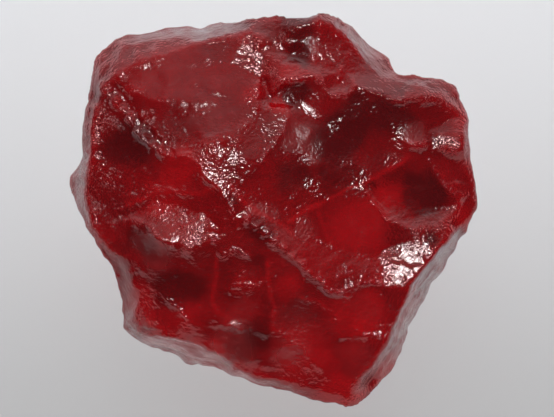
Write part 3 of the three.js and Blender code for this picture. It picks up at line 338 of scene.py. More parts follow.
        (-3.85, -4, 3.28), (-3.6, -4.3, 3.25), (-3.3, -4.55, 3.2), (-2.5, -4.6, 3.26),
    ),
    "vein_left": (
        (-2.5, -1.75, 3.98), (-2.4, -2.1, 3.88), (-2.28, -2.6, 3.78), (-2.5, -3.2, 3.64),
        (-2.5, -3.7, 3.5), (-2.28, -4.05, 3.46), (-1.95, -4.4, 3.4),
    ),
    "vein_right": (
        (-0.35, -2.05, 4.04), (-0.35, -2.6, 3.95), (-0.33, -3.2, 3.82), (-0.22, -3.65, 3.73),
        (-0.1, -4, 3.65), (-0.15, -4.4, 3.55), (-0.2, -4.75, 3.46), (0.1, -4.92, 3.42),
        (0.45, -5.07, 3.37), (0.85, -5.32, 3.3), (1.12, -5.55, 3.24), (1.42, -5.97, 3.12),
        (1.75, -6.35, 3), (1.95, -6.55, 2.9),
    ),
    "low_sparkle": (
        (-1.9, -3.5, 3.64), (-1.6, -3, 3.8), (-1.1, -2.95, 3.84), (-0.75, -3.1, 3.82),
        (-0.33, -3, 3.87),
    ),
    "low_sparkle_foot": ((-1.7, -3.3, 3.68), (-1.2, -3.22, 3.72), (-0.8, -3.3, 3.72)),
    "mid_fin": (
        (-0.2, -2.65, 3.97), (0.1, -2.9, 3.92), (0.4, -3.2, 3.85), (0.65, -3.4, 3.8),
        (1.1, -3.52, 3.76), (1.55, -3.66, 3.72), (1.85, -3.88, 3.66), (2.1, -4.18, 3.58),
        (2.5, -4.42, 3.5),
    ),
    "low_ledge": (
        (-2.45, -4.7, 3.26), (-2.1, -4.64, 3.31), (-1.8, -4.6, 3.34), (-1.45, -4.72, 3.33),
        (-1, -4.72, 3.36), (-0.5, -4.8, 3.4), (-0.2, -4.75, 3.46),
    ),
    "low_ledge_foot": (
        (-2.5, -4.95, 3.1), (-2, -4.92, 3.16), (-1.4, -4.98, 3.18), (-0.8, -5.02, 3.24),
    ),
    "right_low_ledge": (
        (2.4, -5.12, 3.32), (3, -5.03, 3.3), (3.5, -5.05, 3.27), (3.95, -5.08, 3.24),
        (4.3, -4.95, 3.2),
    ),
    "right_low_foot": (
        (2.5, -5.35, 3.16), (3.1, -5.28, 3.15), (3.55, -5.38, 3.12), (3.85, -5.75, 3.02),
    ),
    "side_ridge": (
        (6.25, -1.9, 3.5), (5.85, -2.4, 3.58), (5.5, -2.9, 3.6), (5.18, -3.45, 3.5),
        (4.92, -3.95, 3.42), (4.7, -4.45, 3.34), (4.5, -4.95, 3.24), (4.28, -5.4, 3.13),
        (4.05, -5.85, 3.03), (3.85, -6.15, 2.95), (3.6, -6.42, 2.87), (3.3, -6.72, 2.78),
        (3.1, -7.12, 2.6), (2.95, -7.5, 2.3),
    ),
    "side_crack": (
        (6.4, -2.35, 1.6), (5.75, -3.2, 1.5), (5.25, -4, 1.4), (4.95, -4.8, 1.3), (4.55, -5.6, 1.3),
        (4.2, -6.2, 1.3), (3.85, -6.65, 1.3), (3.5, -7.1, 1.4),
    ),
    "bulge": (
        (4.05, -3, 3.62), (4.4, -3.12, 3.6), (4.8, -3.22, 3.62), (5.12, -3.1, 3.62),
        (5.5, -2.9, 3.6),
    ),
    "bulge_top": (
        (3.7, -2.05, 3.47), (4.1, -1.8, 3.36), (4.5, -1.52, 3.31), (4.95, -1.42, 3.37),
        (5.48, -1.3, 3.42), (6.1, -1.6, 3.48), (6.25, -1.9, 3.5),
    ),
    "bulge_mid": ((4.35, -2.3, 3.53), (4.9, -2.15, 3.51), (5.35, -2.2, 3.52), (5.8, -2.2, 3.54)),
    "lower_left_shoulder": (
        (-5.6, -4.85, 2), (-5.2, -5, 2.35), (-4.8, -5.05, 2.55), (-4.3, -5.18, 2.65),
        (-3.8, -5.3, 2.7), (-3.3, -5.42, 2.75), (-2.8, -5.6, 2.77), (-2.4, -5.78, 2.78),
        (-1.9, -6.05, 2.76), (-1.6, -6.35, 2.62), (-1.1, -6.62, 2.5), (-0.4, -6.78, 2.5),
        (0.3, -6.88, 2.53), (0.9, -7.08, 2.55), (1.5, -7.25, 2.55), (2.2, -7.38, 2.55),
        (2.95, -7.5, 2.45),
    ),
    "lower_fold": (
        (-1.9, -6.05, 2.76), (-1.3, -6, 2.88), (-0.8, -5.85, 3), (0, -6, 2.98), (0.7, -6.3, 2.87),
        (1.2, -6.72, 2.72), (1.6, -6.85, 2.7), (2.2, -6.98, 2.7), (2.95, -7.02, 2.66),
    ),
    "under_streak": ((-4.9, -5.3, 0.9), (-4, -5.55, 1), (-3, -5.9, 1.1), (-2, -6.3, 1.4)),
    "corner_ledge": (
        (-5.85, -4.3, 1.9), (-5.72, -4.5, 2.15), (-5.4, -4.62, 2.5), (-5, -4.68, 2.75),
        (-4.5, -4.75, 2.88),
    ),
    "corner_foot": ((-5.6, -4.85, 2), (-5.2, -4.88, 2.25), (-4.7, -4.92, 2.6)),
}

# The ribs and edges of the back and the underside: lines of (u, v, height) in mm.
BACK_WIRES = {
    "back_spine": (
        (-1.6, 7.38, 1.8), (-2.3, 6.7, -2), (-2.9, 5.4, -4), (-2.6, 4, -5.6), (-2.2, 2.8, -6.9),
        (-2.6, 1.4, -8),
    ),
    "back_rib": (
        (2.8, 7.2, 1.8), (3, 6.3, -2.4), (2.3, 4.7, -4.9), (2.6, 3.4, -6.3), (2, 1.8, -7.8),
    ),
    "back_left_rib": (
        (-7, 6.26, 1.3), (-6.4, 5.3, -2.6), (-5.5, 3.8, -4.6), (-4.9, 2, -6.2), (-4.4, 0.6, -7.4),
    ),
    "back_right_rib": (
        (6.98, 4.82, 2.1), (6.8, 4.2, -1.6), (5.6, 3, -4.6), (5.2, 1.5, -6.1), (4.6, 0.3, -7.1),
    ),
    "left_keel": (
        (-8.15, 1.35, 0.3), (-7.6, 0.9, -2.2), (-6.5, 0.4, -4.3), (-5.4, -0.4, -6),
        (-4.4, -0.8, -7),
    ),
    "left_low_keel": ((-6.6, -2.25, 2.2), (-6.3, -2.4, -2), (-5.5, -2.8, -4.2), (-4.5, -2.8, -5.6)),
    "right_keel": (
        (7.88, 0.71, 2.4), (7.6, 0.3, -1.8), (6.5, -0.4, -4.4), (5.4, -0.9, -5.9),
        (4.4, -1.2, -6.6),
    ),
    "right_low_keel": ((6.4, -2.72, -1.4), (5.9, -3, -3.2), (5, -3.3, -4.4), (4.2, -3, -5.2)),
    "back_ledge": (
        (-2.6, 4, -5.6), (-1.5, 4.3, -5.5), (-0.4, 3.8, -6), (0.8, 4.4, -5.5), (2.3, 4.7, -4.9),
    ),
    "back_ledge_foot": ((-2, 3.3, -6.1), (-0.4, 3.2, -6.3), (1, 3.6, -6), (2.3, 3.9, -5.6)),
    "left_belt": ((-5.5, 3.8, -4.6), (-6.4, 2.4, -4), (-7.1, 0.8, -3.4)),
    "right_belt": ((5.6, 3, -4.6), (6.5, 1.8, -4), (7.2, 0, -3.2)),
    "base_plateau": (
        (-4.4, 0.6, -7.4), (-2.4, 1, -8), (2.2, 1, -8), (4.6, 0.3, -7.1), (4.4, -1.2, -6.6),
        (4.2, -3, -5.2), (3, -4.4, -4.6), (0.5, -5.2, -4.2), (-2.2, -5.2, -4.3), (-3.8, -4.2, -4.8),
        (-4.5, -2.8, -5.6), (-4.4, -0.8, -7), (-4.4, 0.6, -7.4),
    ),
    "front_base": (
        (-4.4, -5.2, -3.6), (-3.4, -5.75, -3.4), (-2.3, -6, -3.2), (-0.6, -6.3, -3),
        (0.9, -6.4, -2.8), (2.1, -6.4, -2.8), (3.2, -6.1, -3.1),
    ),
    "right_base_corner": ((4.6, -6.4, 0), (4.4, -6.1, -2.4), (4, -5.7, -3.1), (3, -4.4, -4.6)),
    "left_base_corner": ((-5.65, -5.2, -0.8), (-5, -4.6, -3.6), (-3.8, -4.2, -4.8)),
}

# Hollows: (u, v, radius, depth) in mm. A depth sinks the skin away from the front, so the back's
# hollows have negative ones.
FRONT_HOLLOWS = (
    (-4.4, 5.2, 1.2, -0.03), (-3.6, 3.1, 1, 0.05), (-6.1, 2.3, 1.3, 0.12), (-4.3, 1.35, 0.7, 0.05),
    (1.3, 2.4, 1.2, 0.05), (3.7, 2.4, 1.4, 0.1), (5.4, 0.9, 1.1, 0.16), (3.4, -0.6, 1.3, 0.06),
    (2.4, -2.3, 0.9, -0.05), (5.2, -2.2, 0.6, -0.03), (-3.9, -3.1, 1, 0.08), (-1.3, -4, 0.7, 0.06),
    (0.9, -4.3, 0.8, 0.07), (3.4, -4.2, 1, 0.06), (0.75, 5.95, 0.55, 0.28), (2.25, 4.85, 0.4, 0.08),
)

BACK_HOLLOWS = (
    (0.2, 6, 1.5, -0.5), (-4.6, 5.6, 1.3, -0.3), (4.6, 4.9, 1.2, -0.3), (-6.6, -0.9, 1, -0.3),
    (7, -1, 1, -0.25), (-6.9, 3.2, 1.2, -0.3),
)

# Chips scooped out of the sides and the back by a ball: (azimuth and tilt in degrees, radius of
# the ball and depth in mm).
CHIPS = (
    (90, 120, 30, 0.5), (54, 120, 25, 0.6), (126, 126, 25, 0.45), (90, 148, 20, 0.4),
    (22, 118, 20, 0.5), (156, 126, 18, 0.4), (352, 122, 14, 0.45), (188, 124, 14, 0.45),
    (326, 112, 14, 0.4), (212, 116, 14, 0.4), (262, 96, 7, 0.35), (76, 132, 4, 0.7),
    (110, 134, 4.5, 0.7), (30, 128, 4, 0.7),
)

# ---------------------------------------------------------------- finer marks of the surface

# Crumpled ground: (u, v, radius, roughness) in mm. Past these places the stone is smoother.
CRUMPLED = (
    (6.6, 3.0, 1.0, 0.9), (5.6, 4.1, 0.9, 0.7), (-3.3, -0.8, 0.8, 0.4), (-5.5, -4.6, 0.6, 0.9),
    (0.2, 5.6, 1.1, 0.7), (2.3, 6.0, 1.2, 0.8), (-3.9, 5.4, 1.2, 0.05), (-3.2, 3.9, 0.8, 0.5),
    (5.3, -2.3, 0.7, 0.6), (-6.9, 1.2, 0.8, 0.7), (-1.2, -3.3, 1.0, 0.5), (-2.0, -5.3, 1.0, 0.4),
    (3.6, -5.4, 0.9, 0.5), (-1.0, 6.6, 0.8, 0.7), (-7.0, 3.0, 0.7, 0.5), (2.0, 7.0, 0.9, 0.6),
)

# Frosted ground, where the break is dull: (u, v, radius, frost) in mm.
FROSTED = (
    (-4.0, 5.2, 1.4, 0.35), (-2.6, 4.9, 1.2, 0.2), (-3.0, 3.7, 0.7, 0.5), (-0.9, 2.9, 0.7, 0.4),
    (0.0, 3.4, 0.6, 0.4), (0.8, 2.8, 0.8, 1.1), (0.4, 3.5, 0.4, 0.8), (1.4, 2.2, 0.6, 0.8),
    (5.3, 2.8, 0.5, 0.9), (0.6, -1.6, 0.7, 0.5), (-0.6, -0.6, 0.6, 0.5), (2.0, -2.4, 0.8, 0.4),
    (-0.5, 0.0, 0.5, 0.9), (1.2, -0.8, 0.5, 0.9), (0.2, -1.2, 0.6, 0.8), (-4.2, -0.6, 0.7, 0.6),
    (-3.2, -0.9, 0.7, 0.6), (-5.0, -1.8, 0.9, 0.8), (0.9, -4.3, 0.9, 0.6), (-1.3, -4.0, 0.7, 0.6),
    (-1.8, -5.4, 1.0, 0.9), (0.4, -5.6, 0.9, 0.7), (3.2, -3.9, 0.8, 0.5), (3.0, -5.9, 0.8, 0.5),
    (-5.3, -4.6, 0.5, 0.8), (6.6, 4.3, 0.5, 0.5), (5.3, -2.1, 0.5, 0.3), (1.4, 6.4, 0.5, 0.9),
    (2.9, 5.9, 0.7, 0.5), (-1.0, 6.7, 0.6, 0.4),
)

# Glassy ground, where the break is smooth: (u, v, radius, smoothness) in mm.
GLASSY = (
    (3.4, -0.7, 1.3, 0.9), (5.5, 0.8, 1.1, 0.8), (4.5, 0.6, 0.5, 0.8), (4.2, 1.8, 0.7, 0.8),
    (2.6, 2.6, 0.8, 0.6), (-6.0, 2.3, 0.9, 0.6), (-3.1, -3.0, 1.0, 0.6), (0.7, 6.1, 0.6, 0.8),
    (-3.8, 1.4, 0.8, 0.6), (-0.9, -2.4, 0.6, 0.8), (-1.0, -1.1, 0.5, 0.9), (-3.6, 3.0, 0.6, 0.4),
    (1.2, 7.1, 0.6, 0.7), (0.6, 1.2, 0.6, 0.6), (-4.4, 4.6, 1.6, 0.9), (-2.3, 4.6, 1.3, 0.9),
    (-3.3, 3.6, 0.9, 0.8), (-3.4, 5.8, 0.9, 0.8), (-0.6, 3.1, 0.7, 0.4), (5.4, -2.3, 0.8, 0.9),
    (-2.35, 2.5, 0.45, 0.7), (-4.05, -1.2, 0.7, 0.8), (-5.0, -1.9, 0.9, 0.8),
    (-2.6, -5.2, 1.0, 1.0), (-0.6, -5.5, 1.1, 1.0), (-4.0, -4.6, 0.7, 0.7), (2.3, -5.9, 1.0, 0.9),
    (-1.3, -4.0, 0.7, 0.8), (1.2, 3.4, 1.1, 0.9), (6.9, 2.65, 0.35, 0.75), (2.5, -7.4, 0.7, 0.8),
    (7.6, -0.2, 0.5, 0.7), (3.3, -4.3, 0.9, 0.5), (1.0, -5.8, 1.0, 0.5),
)

# Painted glow: spots where the tint is pushed towards the bright red, standing in for light that
# shines through the crystal: (u, v, radius, strength) in mm.
PAINTED_GLOW_SPOTS = (
    (3.4, -0.6, 1.1, 1.0), (4.4, 0.5, 0.6, 0.9), (-3.9, -4.3, 0.9, 0.7), (0.0, 3.95, 0.4, 1.0),
    (-3.8, 1.4, 0.8, 0.8), (-4.8, 0.5, 0.8, 0.6), (0.5, 5.4, 0.5, 0.9), (-1.0, -2.9, 0.7, 0.4),
    (2.6, 0.2, 0.7, 0.4), (3.3, -4.2, 1.1, 0.8), (0.9, -5.8, 1.3, 0.7), (-5.2, -3.9, 0.7, 1.0),
    (-4.3, -5.5, 0.8, 2.4), (-2.9, -6.1, 0.9, 2.4), (-1.2, -6.7, 0.8, 1.2), (2.5, -7.4, 0.8, 1.2),
    (0.6, -3.1, 0.5, 0.7), (-1.2, -4.1, 0.6, 0.5), (-0.8, 4.6, 0.4, 0.6), (-4.2, 4.6, 0.9, 0.2),
    (7.5, -0.2, 0.5, 1.0), (-6.9, -1.2, 0.5, 0.2), (5.6, -3.9, 0.6, 0.5), (4.3, -6.3, 0.6, 0.8),
)

# Painted shade: spots where the tint is pushed towards the deep red, standing in for dark depths:
# (u, v, radius, strength) in mm.
PAINTED_SHADE_SPOTS = (
    (2.5, 2.7, 1.0, 1.8), (3.1, 3.6, 0.8, 1.0), (2.5, 1.4, 0.9, 0.6), (0.6, 1.2, 0.6, 0.6),
    (0.8, 6.2, 0.5, 1.0), (0.7, 4.6, 0.6, 1.2), (5.8, 0.7, 0.8, 1.6), (-3.9, -3.1, 0.9, 1.2),
    (-6.0, 2.6, 1.0, 0.9), (-0.8, -1.1, 0.6, 0.7), (-0.8, -4.9, 0.5, 0.6), (4.4, 3.6, 0.8, 1.0),
    (2.9, -3.3, 0.5, 0.4), (-0.9, -2.4, 0.5, 0.6), (-1.6, 0.2, 0.4, 0.5), (-5.4, -1.4, 0.6, 0.6),
    (0.8, 7.2, 0.6, 0.8), (6.0, -1.2, 0.4, 0.9),
)

# Streaked walls: (u, v, radius, heading of the streaks in degrees from +u, strength) in mm.
STREAKED = (
    (-5.0, 6.3, 1.4, 14.0, 1.0), (-2.6, 6.9, 1.1, 8.0, 0.9), (1.5, 7.4, 0.9, 0.0, 0.5),
    (-7.4, 3.2, 1.4, 84.0, 0.8), (-7.0, -1.0, 1.2, 120.0, 0.7), (5.7, -3.6, 1.3, 58.0, 1.0),
    (4.5, -5.8, 1.3, 60.0, 1.0), (-6.1, -3.8, 0.9, 92.0, 0.6), (-3.4, -5.9, 1.2, 162.0, 0.4),
    (0.5, -7.0, 1.2, 172.0, 0.3), (7.6, 1.5, 1.2, 84.0, 0.5), (3.6, 6.2, 0.9, 135.0, 0.8),
    (1.3, 2.8, 1.0, 140.0, 0.5),
)

# Glittering edges, set with tiny chips: (width, strength, line of (u, v)) in mm.
GLITTERING = (
    (0.15, 0.2, ((-6.7, 4.7), (-6.41, 4.5), (-6.02, 4.05), (-5.63, 3.52), (-5.31, 3.07),
                 (-4.89, 2.62), (-4.4, 2.25))),
    (0.12, 0.8, ((-4.4, 2.2), (-3.6, 2.15), (-3.1, 2.2), (-2.6, 2.5), (-2.1, 2.8))),
    (0.10, 0.8, ((-0.8, 4.05), (-1.0, 3.5), (-1.4, 3.15))),
    (0.10, 1.0, ((0.52, 3.95), (0.42, 3.6), (0.28, 3.2), (0.1, 2.85), (-0.1, 2.5), (-0.35, 2.2),
                 (-0.65, 1.9))),
    (0.10, 0.8, ((-0.65, 1.9), (-0.95, 1.6), (-1.2, 1.35), (-1.4, 1.05))),
    (0.08, 0.8, ((-0.2, 4.6), (-0.1, 5.1), (0.0, 5.2), (0.3, 5.02), (1.1, 5.1))),
    (0.10, 1.0, ((1.5, 5.2), (1.75, 4.8), (2.0, 4.55), (2.5, 4.45), (2.9, 4.5))),
    (0.07, 0.6, ((0.4, 4.7), (1.0, 4.0), (1.7, 3.6), (2.2, 3.35), (2.6, 3.4))),
    (0.12, 0.9, ((3.6, 4.65), (4.6, 4.4), (5.15, 4.3), (5.7, 4.35), (6.2, 4.4), (6.5, 4.2),
                 (7.0, 3.95))),
    (0.12, 0.9, ((5.7, 2.7), (6.1, 2.4), (6.5, 2.35), (7.1, 2.2))),
    (0.12, 0.8, ((6.6, 2.6), (7.0, 2.8), (7.3, 2.9))),
    (0.08, 0.6, ((6.1, 1.9), (6.3, 1.5), (6.9, 0.7), (7.2, 0.3))),
    (0.10, 0.8, ((1.05, 1.25), (1.35, 0.9), (1.6, 0.6), (1.95, 0.4))),
    (0.08, 0.6, ((3.4, 1.0), (3.5, 0.7), (3.8, 0.3), (4.0, 0.0), (4.4, -0.4), (5.0, -0.7),
                 (5.3, -0.8))),
    (0.10, 0.9, ((5.6, -0.75), (6.1, -0.92), (6.4, -0.9), (6.65, -0.65), (6.85, -0.35),
                 (7.05, 0.0))),
    (0.08, 0.6, ((4.5, -0.4), (5.5, -0.2), (6.3, -0.05), (7.0, 0.05))),
    (0.10, 0.4, ((-1.3, -0.4), (-0.9, -0.7), (-0.5, -1.05), (-0.15, -1.35), (0.4, -1.3))),
    (0.10, 0.9, ((-0.1, -1.6), (0.5, -1.9), (0.95, -2.1), (1.1, -2.4), (1.7, -3.0), (2.2, -3.4),
                 (2.5, -3.4), (2.8, -3.15), (3.2, -3.05), (4.1, -3.0))),
    (0.08, 0.5, ((0.5, -1.1), (1.2, -1.1), (2.1, -1.6), (2.8, -1.85), (3.2, -2.0))),
    (0.12, 0.9, ((-6.2, -0.45), (-5.6, -0.4), (-5.2, -0.5), (-4.8, -0.9), (-4.5, -1.2),
                 (-4.1, -1.45))),
    (0.10, 0.8, ((-6.0, -0.2), (-5.5, 0.05), (-5.0, 0.25), (-4.4, 0.35))),
    (0.12, 0.9, ((-3.7, -1.4), (-3.4, -1.6), (-3.1, -1.4), (-2.65, -1.15), (-2.4, -1.35),
                 (-2.1, -1.1))),
    (0.10, 0.8, ((-2.1, -1.8), (-1.8, -1.6), (-1.5, -1.7), (-1.1, -1.85))),
    (0.10, 0.7, ((-1.7, -3.0), (-1.3, -2.95), (-0.9, -3.1), (-0.4, -2.9))),
    (0.08, 0.7, ((-2.4, -4.7), (-1.9, -4.6), (-1.4, -4.75), (-1.0, -4.7))),
    (0.06, 0.5, ((3.5, -4.97), (4.2, -5.1))),
    (0.10, 0.8, ((-5.85, -4.5), (-5.4, -4.65), (-5.1, -4.7))),
    (0.08, 0.5, ((-5.1, -3.1), (-4.5, -3.4), (-4.0, -3.9), (-3.5, -4.3))),
    (0.10, 0.5, ((-5.5, -5.0), (-4.8, -5.05), (-3.9, -5.3), (-3.1, -5.45), (-2.5, -5.75),
                 (-1.9, -6.05))),
    (0.10, 0.6, ((6.2, -2.0), (5.5, -2.9), (5.0, -3.8), (4.6, -4.6), (4.4, -5.2), (4.1, -5.8),
                 (3.8, -6.2), (3.3, -6.7), (3.1, -7.1))),
    (0.10, 0.7, ((-7.4, 3.0), (-7.2, 2.4), (-7.1, 2.0))),
    (0.35, 1.0, ((-7.4, 1.35), (-7.0, 1.1), (-6.6, 0.95))),
    (0.30, 0.8, ((-5.6, -4.4), (-5.0, -3.6))),
    (0.07, 0.5, ((-0.3, -3.2), (-0.1, -3.9), (-0.2, -4.7), (0.4, -5.0), (1.0, -5.4), (1.4, -6.0),
                 (1.7, -6.3))),
    (0.07, 0.5, ((1.0, -3.5), (1.6, -3.7), (2.1, -4.1), (2.4, -4.5))),
)

# Stepped edges, broken into little teeth: (width, pitch, rise along u, rise along v, line of
# (u, v)) in mm. Each tooth is tilted by those rises from the ground it stands on.
STEPPED = (
    (0.28, 0.62, -0.46, 0.02, ((-6.8, 4.8), (-6.41, 4.5), (-6.2, 4.26))),
    (0.28, 0.62, -0.36, 0.06, ((-6.2, 4.26), (-6.02, 4.05), (-5.63, 3.52), (-5.31, 3.07),
                               (-5.1, 2.85))),
    (0.28, 0.62, -0.31, 0.06, ((-5.1, 2.85), (-4.89, 2.62), (-4.3, 2.2))),
    (0.2, 0.45, 0.16, -0.14, ((-1.5, -0.3), (-0.95, -0.62), (-0.4, -1.06), (0.25, -1.54),
                              (0.95, -2.05))),
)

# Low swells of the ground: (u, v, radius, height) in mm.
SWELLS = (
    (-4.1, -1.15, 0.6, 0.05), (-3.1, -1.0, 0.5, 0.06), (-2.3, 2.5, 0.75, 0.1),
    (-1.25, 1.75, 0.55, 0.09), (5.25, 2.35, 0.45, 0.06),
)

# Painted glow along ledges and ridges: lines where the tint is pushed towards the bright red:
# (width, strength, line of (u, v)) in mm.
PAINTED_EDGE_GLOW = (
    (0.09, 0.9, ((0.5, -0.55), (1.2, -0.02), (2.0, 0.4), (2.6, 0.7), (3.3, 0.95), (3.9, 1.2),
                 (4.5, 1.6), (5.2, 2.1))),
    (0.09, 0.8, ((-6.0, 0.2), (-5.0, 0.5), (-4.0, 0.68), (-3.0, 0.6), (-2.4, 0.9))),
    (0.08, 0.7, ((-2.45, -1.8), (-2.3, -2.6), (-2.5, -3.4), (-2.5, -3.7), (-2.3, -4.0),
                 (-1.9, -4.4))),
    (0.08, 0.7, ((-0.35, -2.1), (-0.33, -3.2), (-0.1, -3.9), (-0.2, -4.7), (0.4, -5.0), (1.0, -5.4),
                 (1.7, -6.3))),
    (0.08, 0.6, ((0.4, -3.2), (1.0, -3.5), (1.6, -3.7), (2.1, -4.15), (2.5, -4.45))),
    (0.12, 0.8, ((-5.2, -3.15), (-4.5, -3.5), (-4.0, -4.0), (-3.5, -4.4))),
    (0.10, 0.7, ((-1.8, 0.9), (-1.4, 0.3), (-0.8, -0.15), (0.0, -0.55), (0.6, -0.9))),
    (0.12, 0.8, ((5.6, -3.0), (5.1, -3.8), (4.75, -4.6))),
    (0.08, 0.6, ((1.6, 0.0), (1.75, -0.6), (2.0, -1.3), (2.3, -1.6))),
)

# Fine cracks: lines of (u, v) in mm.
CRACKS = (
    ((6.4, -2.4), (5.95, -3.0), (5.5, -3.5), (5.1, -4.0), (4.75, -4.7)),
    ((5.45, -4.6), (5.2, -4.9), (4.6, -5.7), (4.0, -6.4), (3.6, -7.0)),
    ((-7.35, 3.9), (-7.5, 3.0), (-7.45, 2.2)),
    ((-4.8, -5.1), (-3.9, -5.38), (-3.1, -5.55)),
    ((-5.0, -5.45), (-3.9, -5.85), (-2.9, -6.15), (-2.0, -6.25)),
)

# ---------------------------------------------------------------- relief, finish and light

# Heights in mm between which something sets in: none of it at the first, all of it at the second.
RELIEF_FADE = (-1.0, -0.4)  # the front's relief
FINISH_FADE = (-0.5, 0.0)  # the front's finish
SIDE_FADE = (0.8, 0.0)  # the sides' added roughness
UNDER_FADE = (-1.5, -3.0)  # the underside's added roughness

# How rough the ground is: 0 where it is smooth, and about 1 where it is crumpled.
SIDE_ROUGHNESS = 0.2
UNDER_ROUGHNESS = 0.4
CALMING = 0.35  # what glassy ground takes off
EDGE_CALM = 0.8  # how glassy the ground along a glittering edge is
ROUGHNESS_LIMITS = (-0.1, 1.2)

# Relief in mm. A share is what is left of it on smooth ground.
# A bowl has a size, a height, a share and a seed.
BOWLS = ((1.7, 0.09, 0.35, 31), (0.75, 0.045, 0.25, 32), (0.36, 0.022, 0.2, 33))
BOWL_BEND = 0.25  # how far their rims stray
BOWL_BEND_WAVE = 0.9
BOWL_BEND_SEEDS = (21, 22, 23)
GRAIN_WAVE = 0.19
GRAIN_HEIGHT = 0.013
GRAIN_SHARE = 0.2
GRAIN_SEED = 14
STREAK_HEIGHT = 0.016
STREAK_STRETCH = 0.13  # a streak's width, as a part of its length
STREAK_WAVES = ((0.26, 1.0, 40), (0.13, 0.5, 60))  # wavelength, strength, seed
EDGE_RISE = 0.012  # how far a glittering edge stands out
EDGE_CHIP_WAVE = 0.17
EDGE_CHIP_HEIGHT = 0.02
EDGE_CHIP_SEED = 15
TOOTH_SPREAD = (0.85, 1.15)  # the teeth's tilts, as parts of the listed one
TOOTH_KINDS = 64
TOOTH_SEED = 80
CRACK_WIDTH = 0.07
CRACK_DEPTH = 0.06
CRACK_END = -2.6  # no crack runs below this height
RIDGE_ROUNDS = 6  # how wide a ridge's surroundings are, in rounds of averaging
RIDGE_HEIGHT = 0.02  # how far a sharp ridge stands out from them
CUT_SLACK = 1e-7  # metres from the ground that count as on it

# The crystal. A texture is its scale to the metre, its detail and its roughness.
REFRACTION = 1.74
CLEARNESS = 0.7  # share of the body that is see-through
VEIL_TEXTURE = (420.0, 3.0, 0.5)
VEIL_STRENGTH = 1.6
RIDGE_GLOW = 0.5  # painted glow: how much brighter red the ridges are tinted
TONE_AND_GLOW_RANGE = (-0.9, 1.2)  # from the deep red to the bright one, over the random tone and the painted glow and shade
PATCH_TEXTURE = (900.0, 4.0, 0.6)
PATCH_RANGE = (0.42, 0.66)  # from polished to dulled
PATCH_DULLNESS = 0.35
GRAIN_TEXTURE = (8000.0, 1.0, 0.5)
RIPPLE_TEXTURE = (3600.0, 2.0, 0.5)
RIPPLE_STRENGTH = 0.35  # beside the grain's
RIDGE_GRIT = 0.9  # how gritty a sharp ridge is
DULL_GRIT = 0.7  # how gritty dulled ground is
GRIT_RANGE = (0.05, 0.9)  # from clean to gritty
GRAIN_STRENGTH = (0.75, 1.6)  # on clean and on gritty ground
GLITTER_STRENGTH = 1.2  # added along the glittering edges
GLASSY_RELIEF = 0.3  # what is left of the grain and ripples on glassy ground

# The camera and the floor.
LENS_LENGTH = 400.0  # mm
SENSOR_WIDTH = 36.0  # mm
CLIP_NEAR = 0.001
CLIP_FAR = 10.0
FLOOR_DROP = -0.00002
FLOOR_FADE = (-0.012, 0.022)  # metres behind the stone's middle, where painted light makes the floor grow paler
FLOOR_ROUGHNESS = 0.9

# The room.
ROOM_COLOUR = (0.96, 0.97, 1.0, 1.0)
ROOM_LIGHT = 0.025  # brightness in front of the stone
WALL_LIGHT = 0.5  # brightness of the wall behind the stone
WALL_FADE = (0.1, 0.8)  # how far back a direction points where the wall sets in

# Name, elevation and azimuth (0 is behind the stone, 90 to the right) in degrees, distance,
# width and length in metres, power in watts, what the lamp lights, and if it casts a shadow.
LAMPS = (
    ("overhead_softbox", 80.0, 0.0, 0.60, 0.50, 0.26, 0.05, ("gloss", "through")),
    ("overhead_halo", 78.0, 0.0, 0.62, 0.85, 0.36, 0.085, ("gloss", "through")),
    ("back_softbox", 40.0, 0.0, 0.75, 0.95, 0.50, 0.32, ("gloss", "through")),
    ("key_spot", 73.0, 195.0, 0.50, 0.036, 0.036, 0.19, ("gloss",)),
    ("key_halo", 73.0, 195.0, 0.52, 0.15, 0.15, 0.50, ("gloss",)),
    ("side_spot", 51.0, 264.0, 0.50, 0.08, 0.08, 0.045, ("gloss",)),
    ("fill_top", 90.0, 0.0, 1.20, 2.20, 2.20, 12.5, ("diffuse",)),
    ("shade_top", 82.0, 0.0, 1.20, 0.80, 0.80, 0.8, ("diffuse", "shadow")),
    ("fill_front", 52.0, 180.0, 1.00, 1.40, 1.40, 4.5, ("diffuse",)),
    ("fill_left", 45.0, 290.0, 1.00, 1.20, 1.20, 1.3, ("diffuse",)),
    ("fill_right", 45.0, 70.0, 1.00, 1.20, 1.20, 3.2, ("diffuse",)),
    ("glow_front", 52.0, 180.0, 1.01, 1.40, 1.40, 4.8, ("through",)),
    ("glow_left", 45.0, 290.0, 1.01, 1.20, 1.20, 2.6, ("through",)),
    ("glow_right", 45.0, 70.0, 1.01, 1.20, 1.20, 3.5, ("through",)),
)

# ---------------------------------------------------------------- noise and shared measures


def fade(heights, ends):
    """0 up to the first end, 1 from the second on, and evenly between."""
    return np.clip((heights - ends[0]) / (ends[1] - ends[0]), 0.0, 1.0)


def squared_radii(u, v, middle_u, middle_v, radius):
    """The squares of the points' distances from a middle, in radii."""
    return ((u - middle_u) ** 2 + (v - middle_v) ** 2) / radius**2


def lattice_noise(points, wavelength, seed):
    """Smooth noise from -1 to 1, with one bump or dip to a wavelength or so."""
    table = np.random.default_rng(seed).uniform(-1.0, 1.0, (NOISE_CELLS,) * 3)
    place = points / wavelength + NOISE_ORIGIN
    cell = np.floor(place).astype(int)
    t = place - cell
    t = t * t * (3 - 2 * t)
    value = np.zeros(len(points))
    for corner in np.ndindex(2, 2, 2):
        weight = np.prod(np.where(corner, t, 1 - t), axis=1)
        i, j, k = ((cell + corner) % NOISE_CELLS).T
        value += weight * table[i, j, k]
    return value


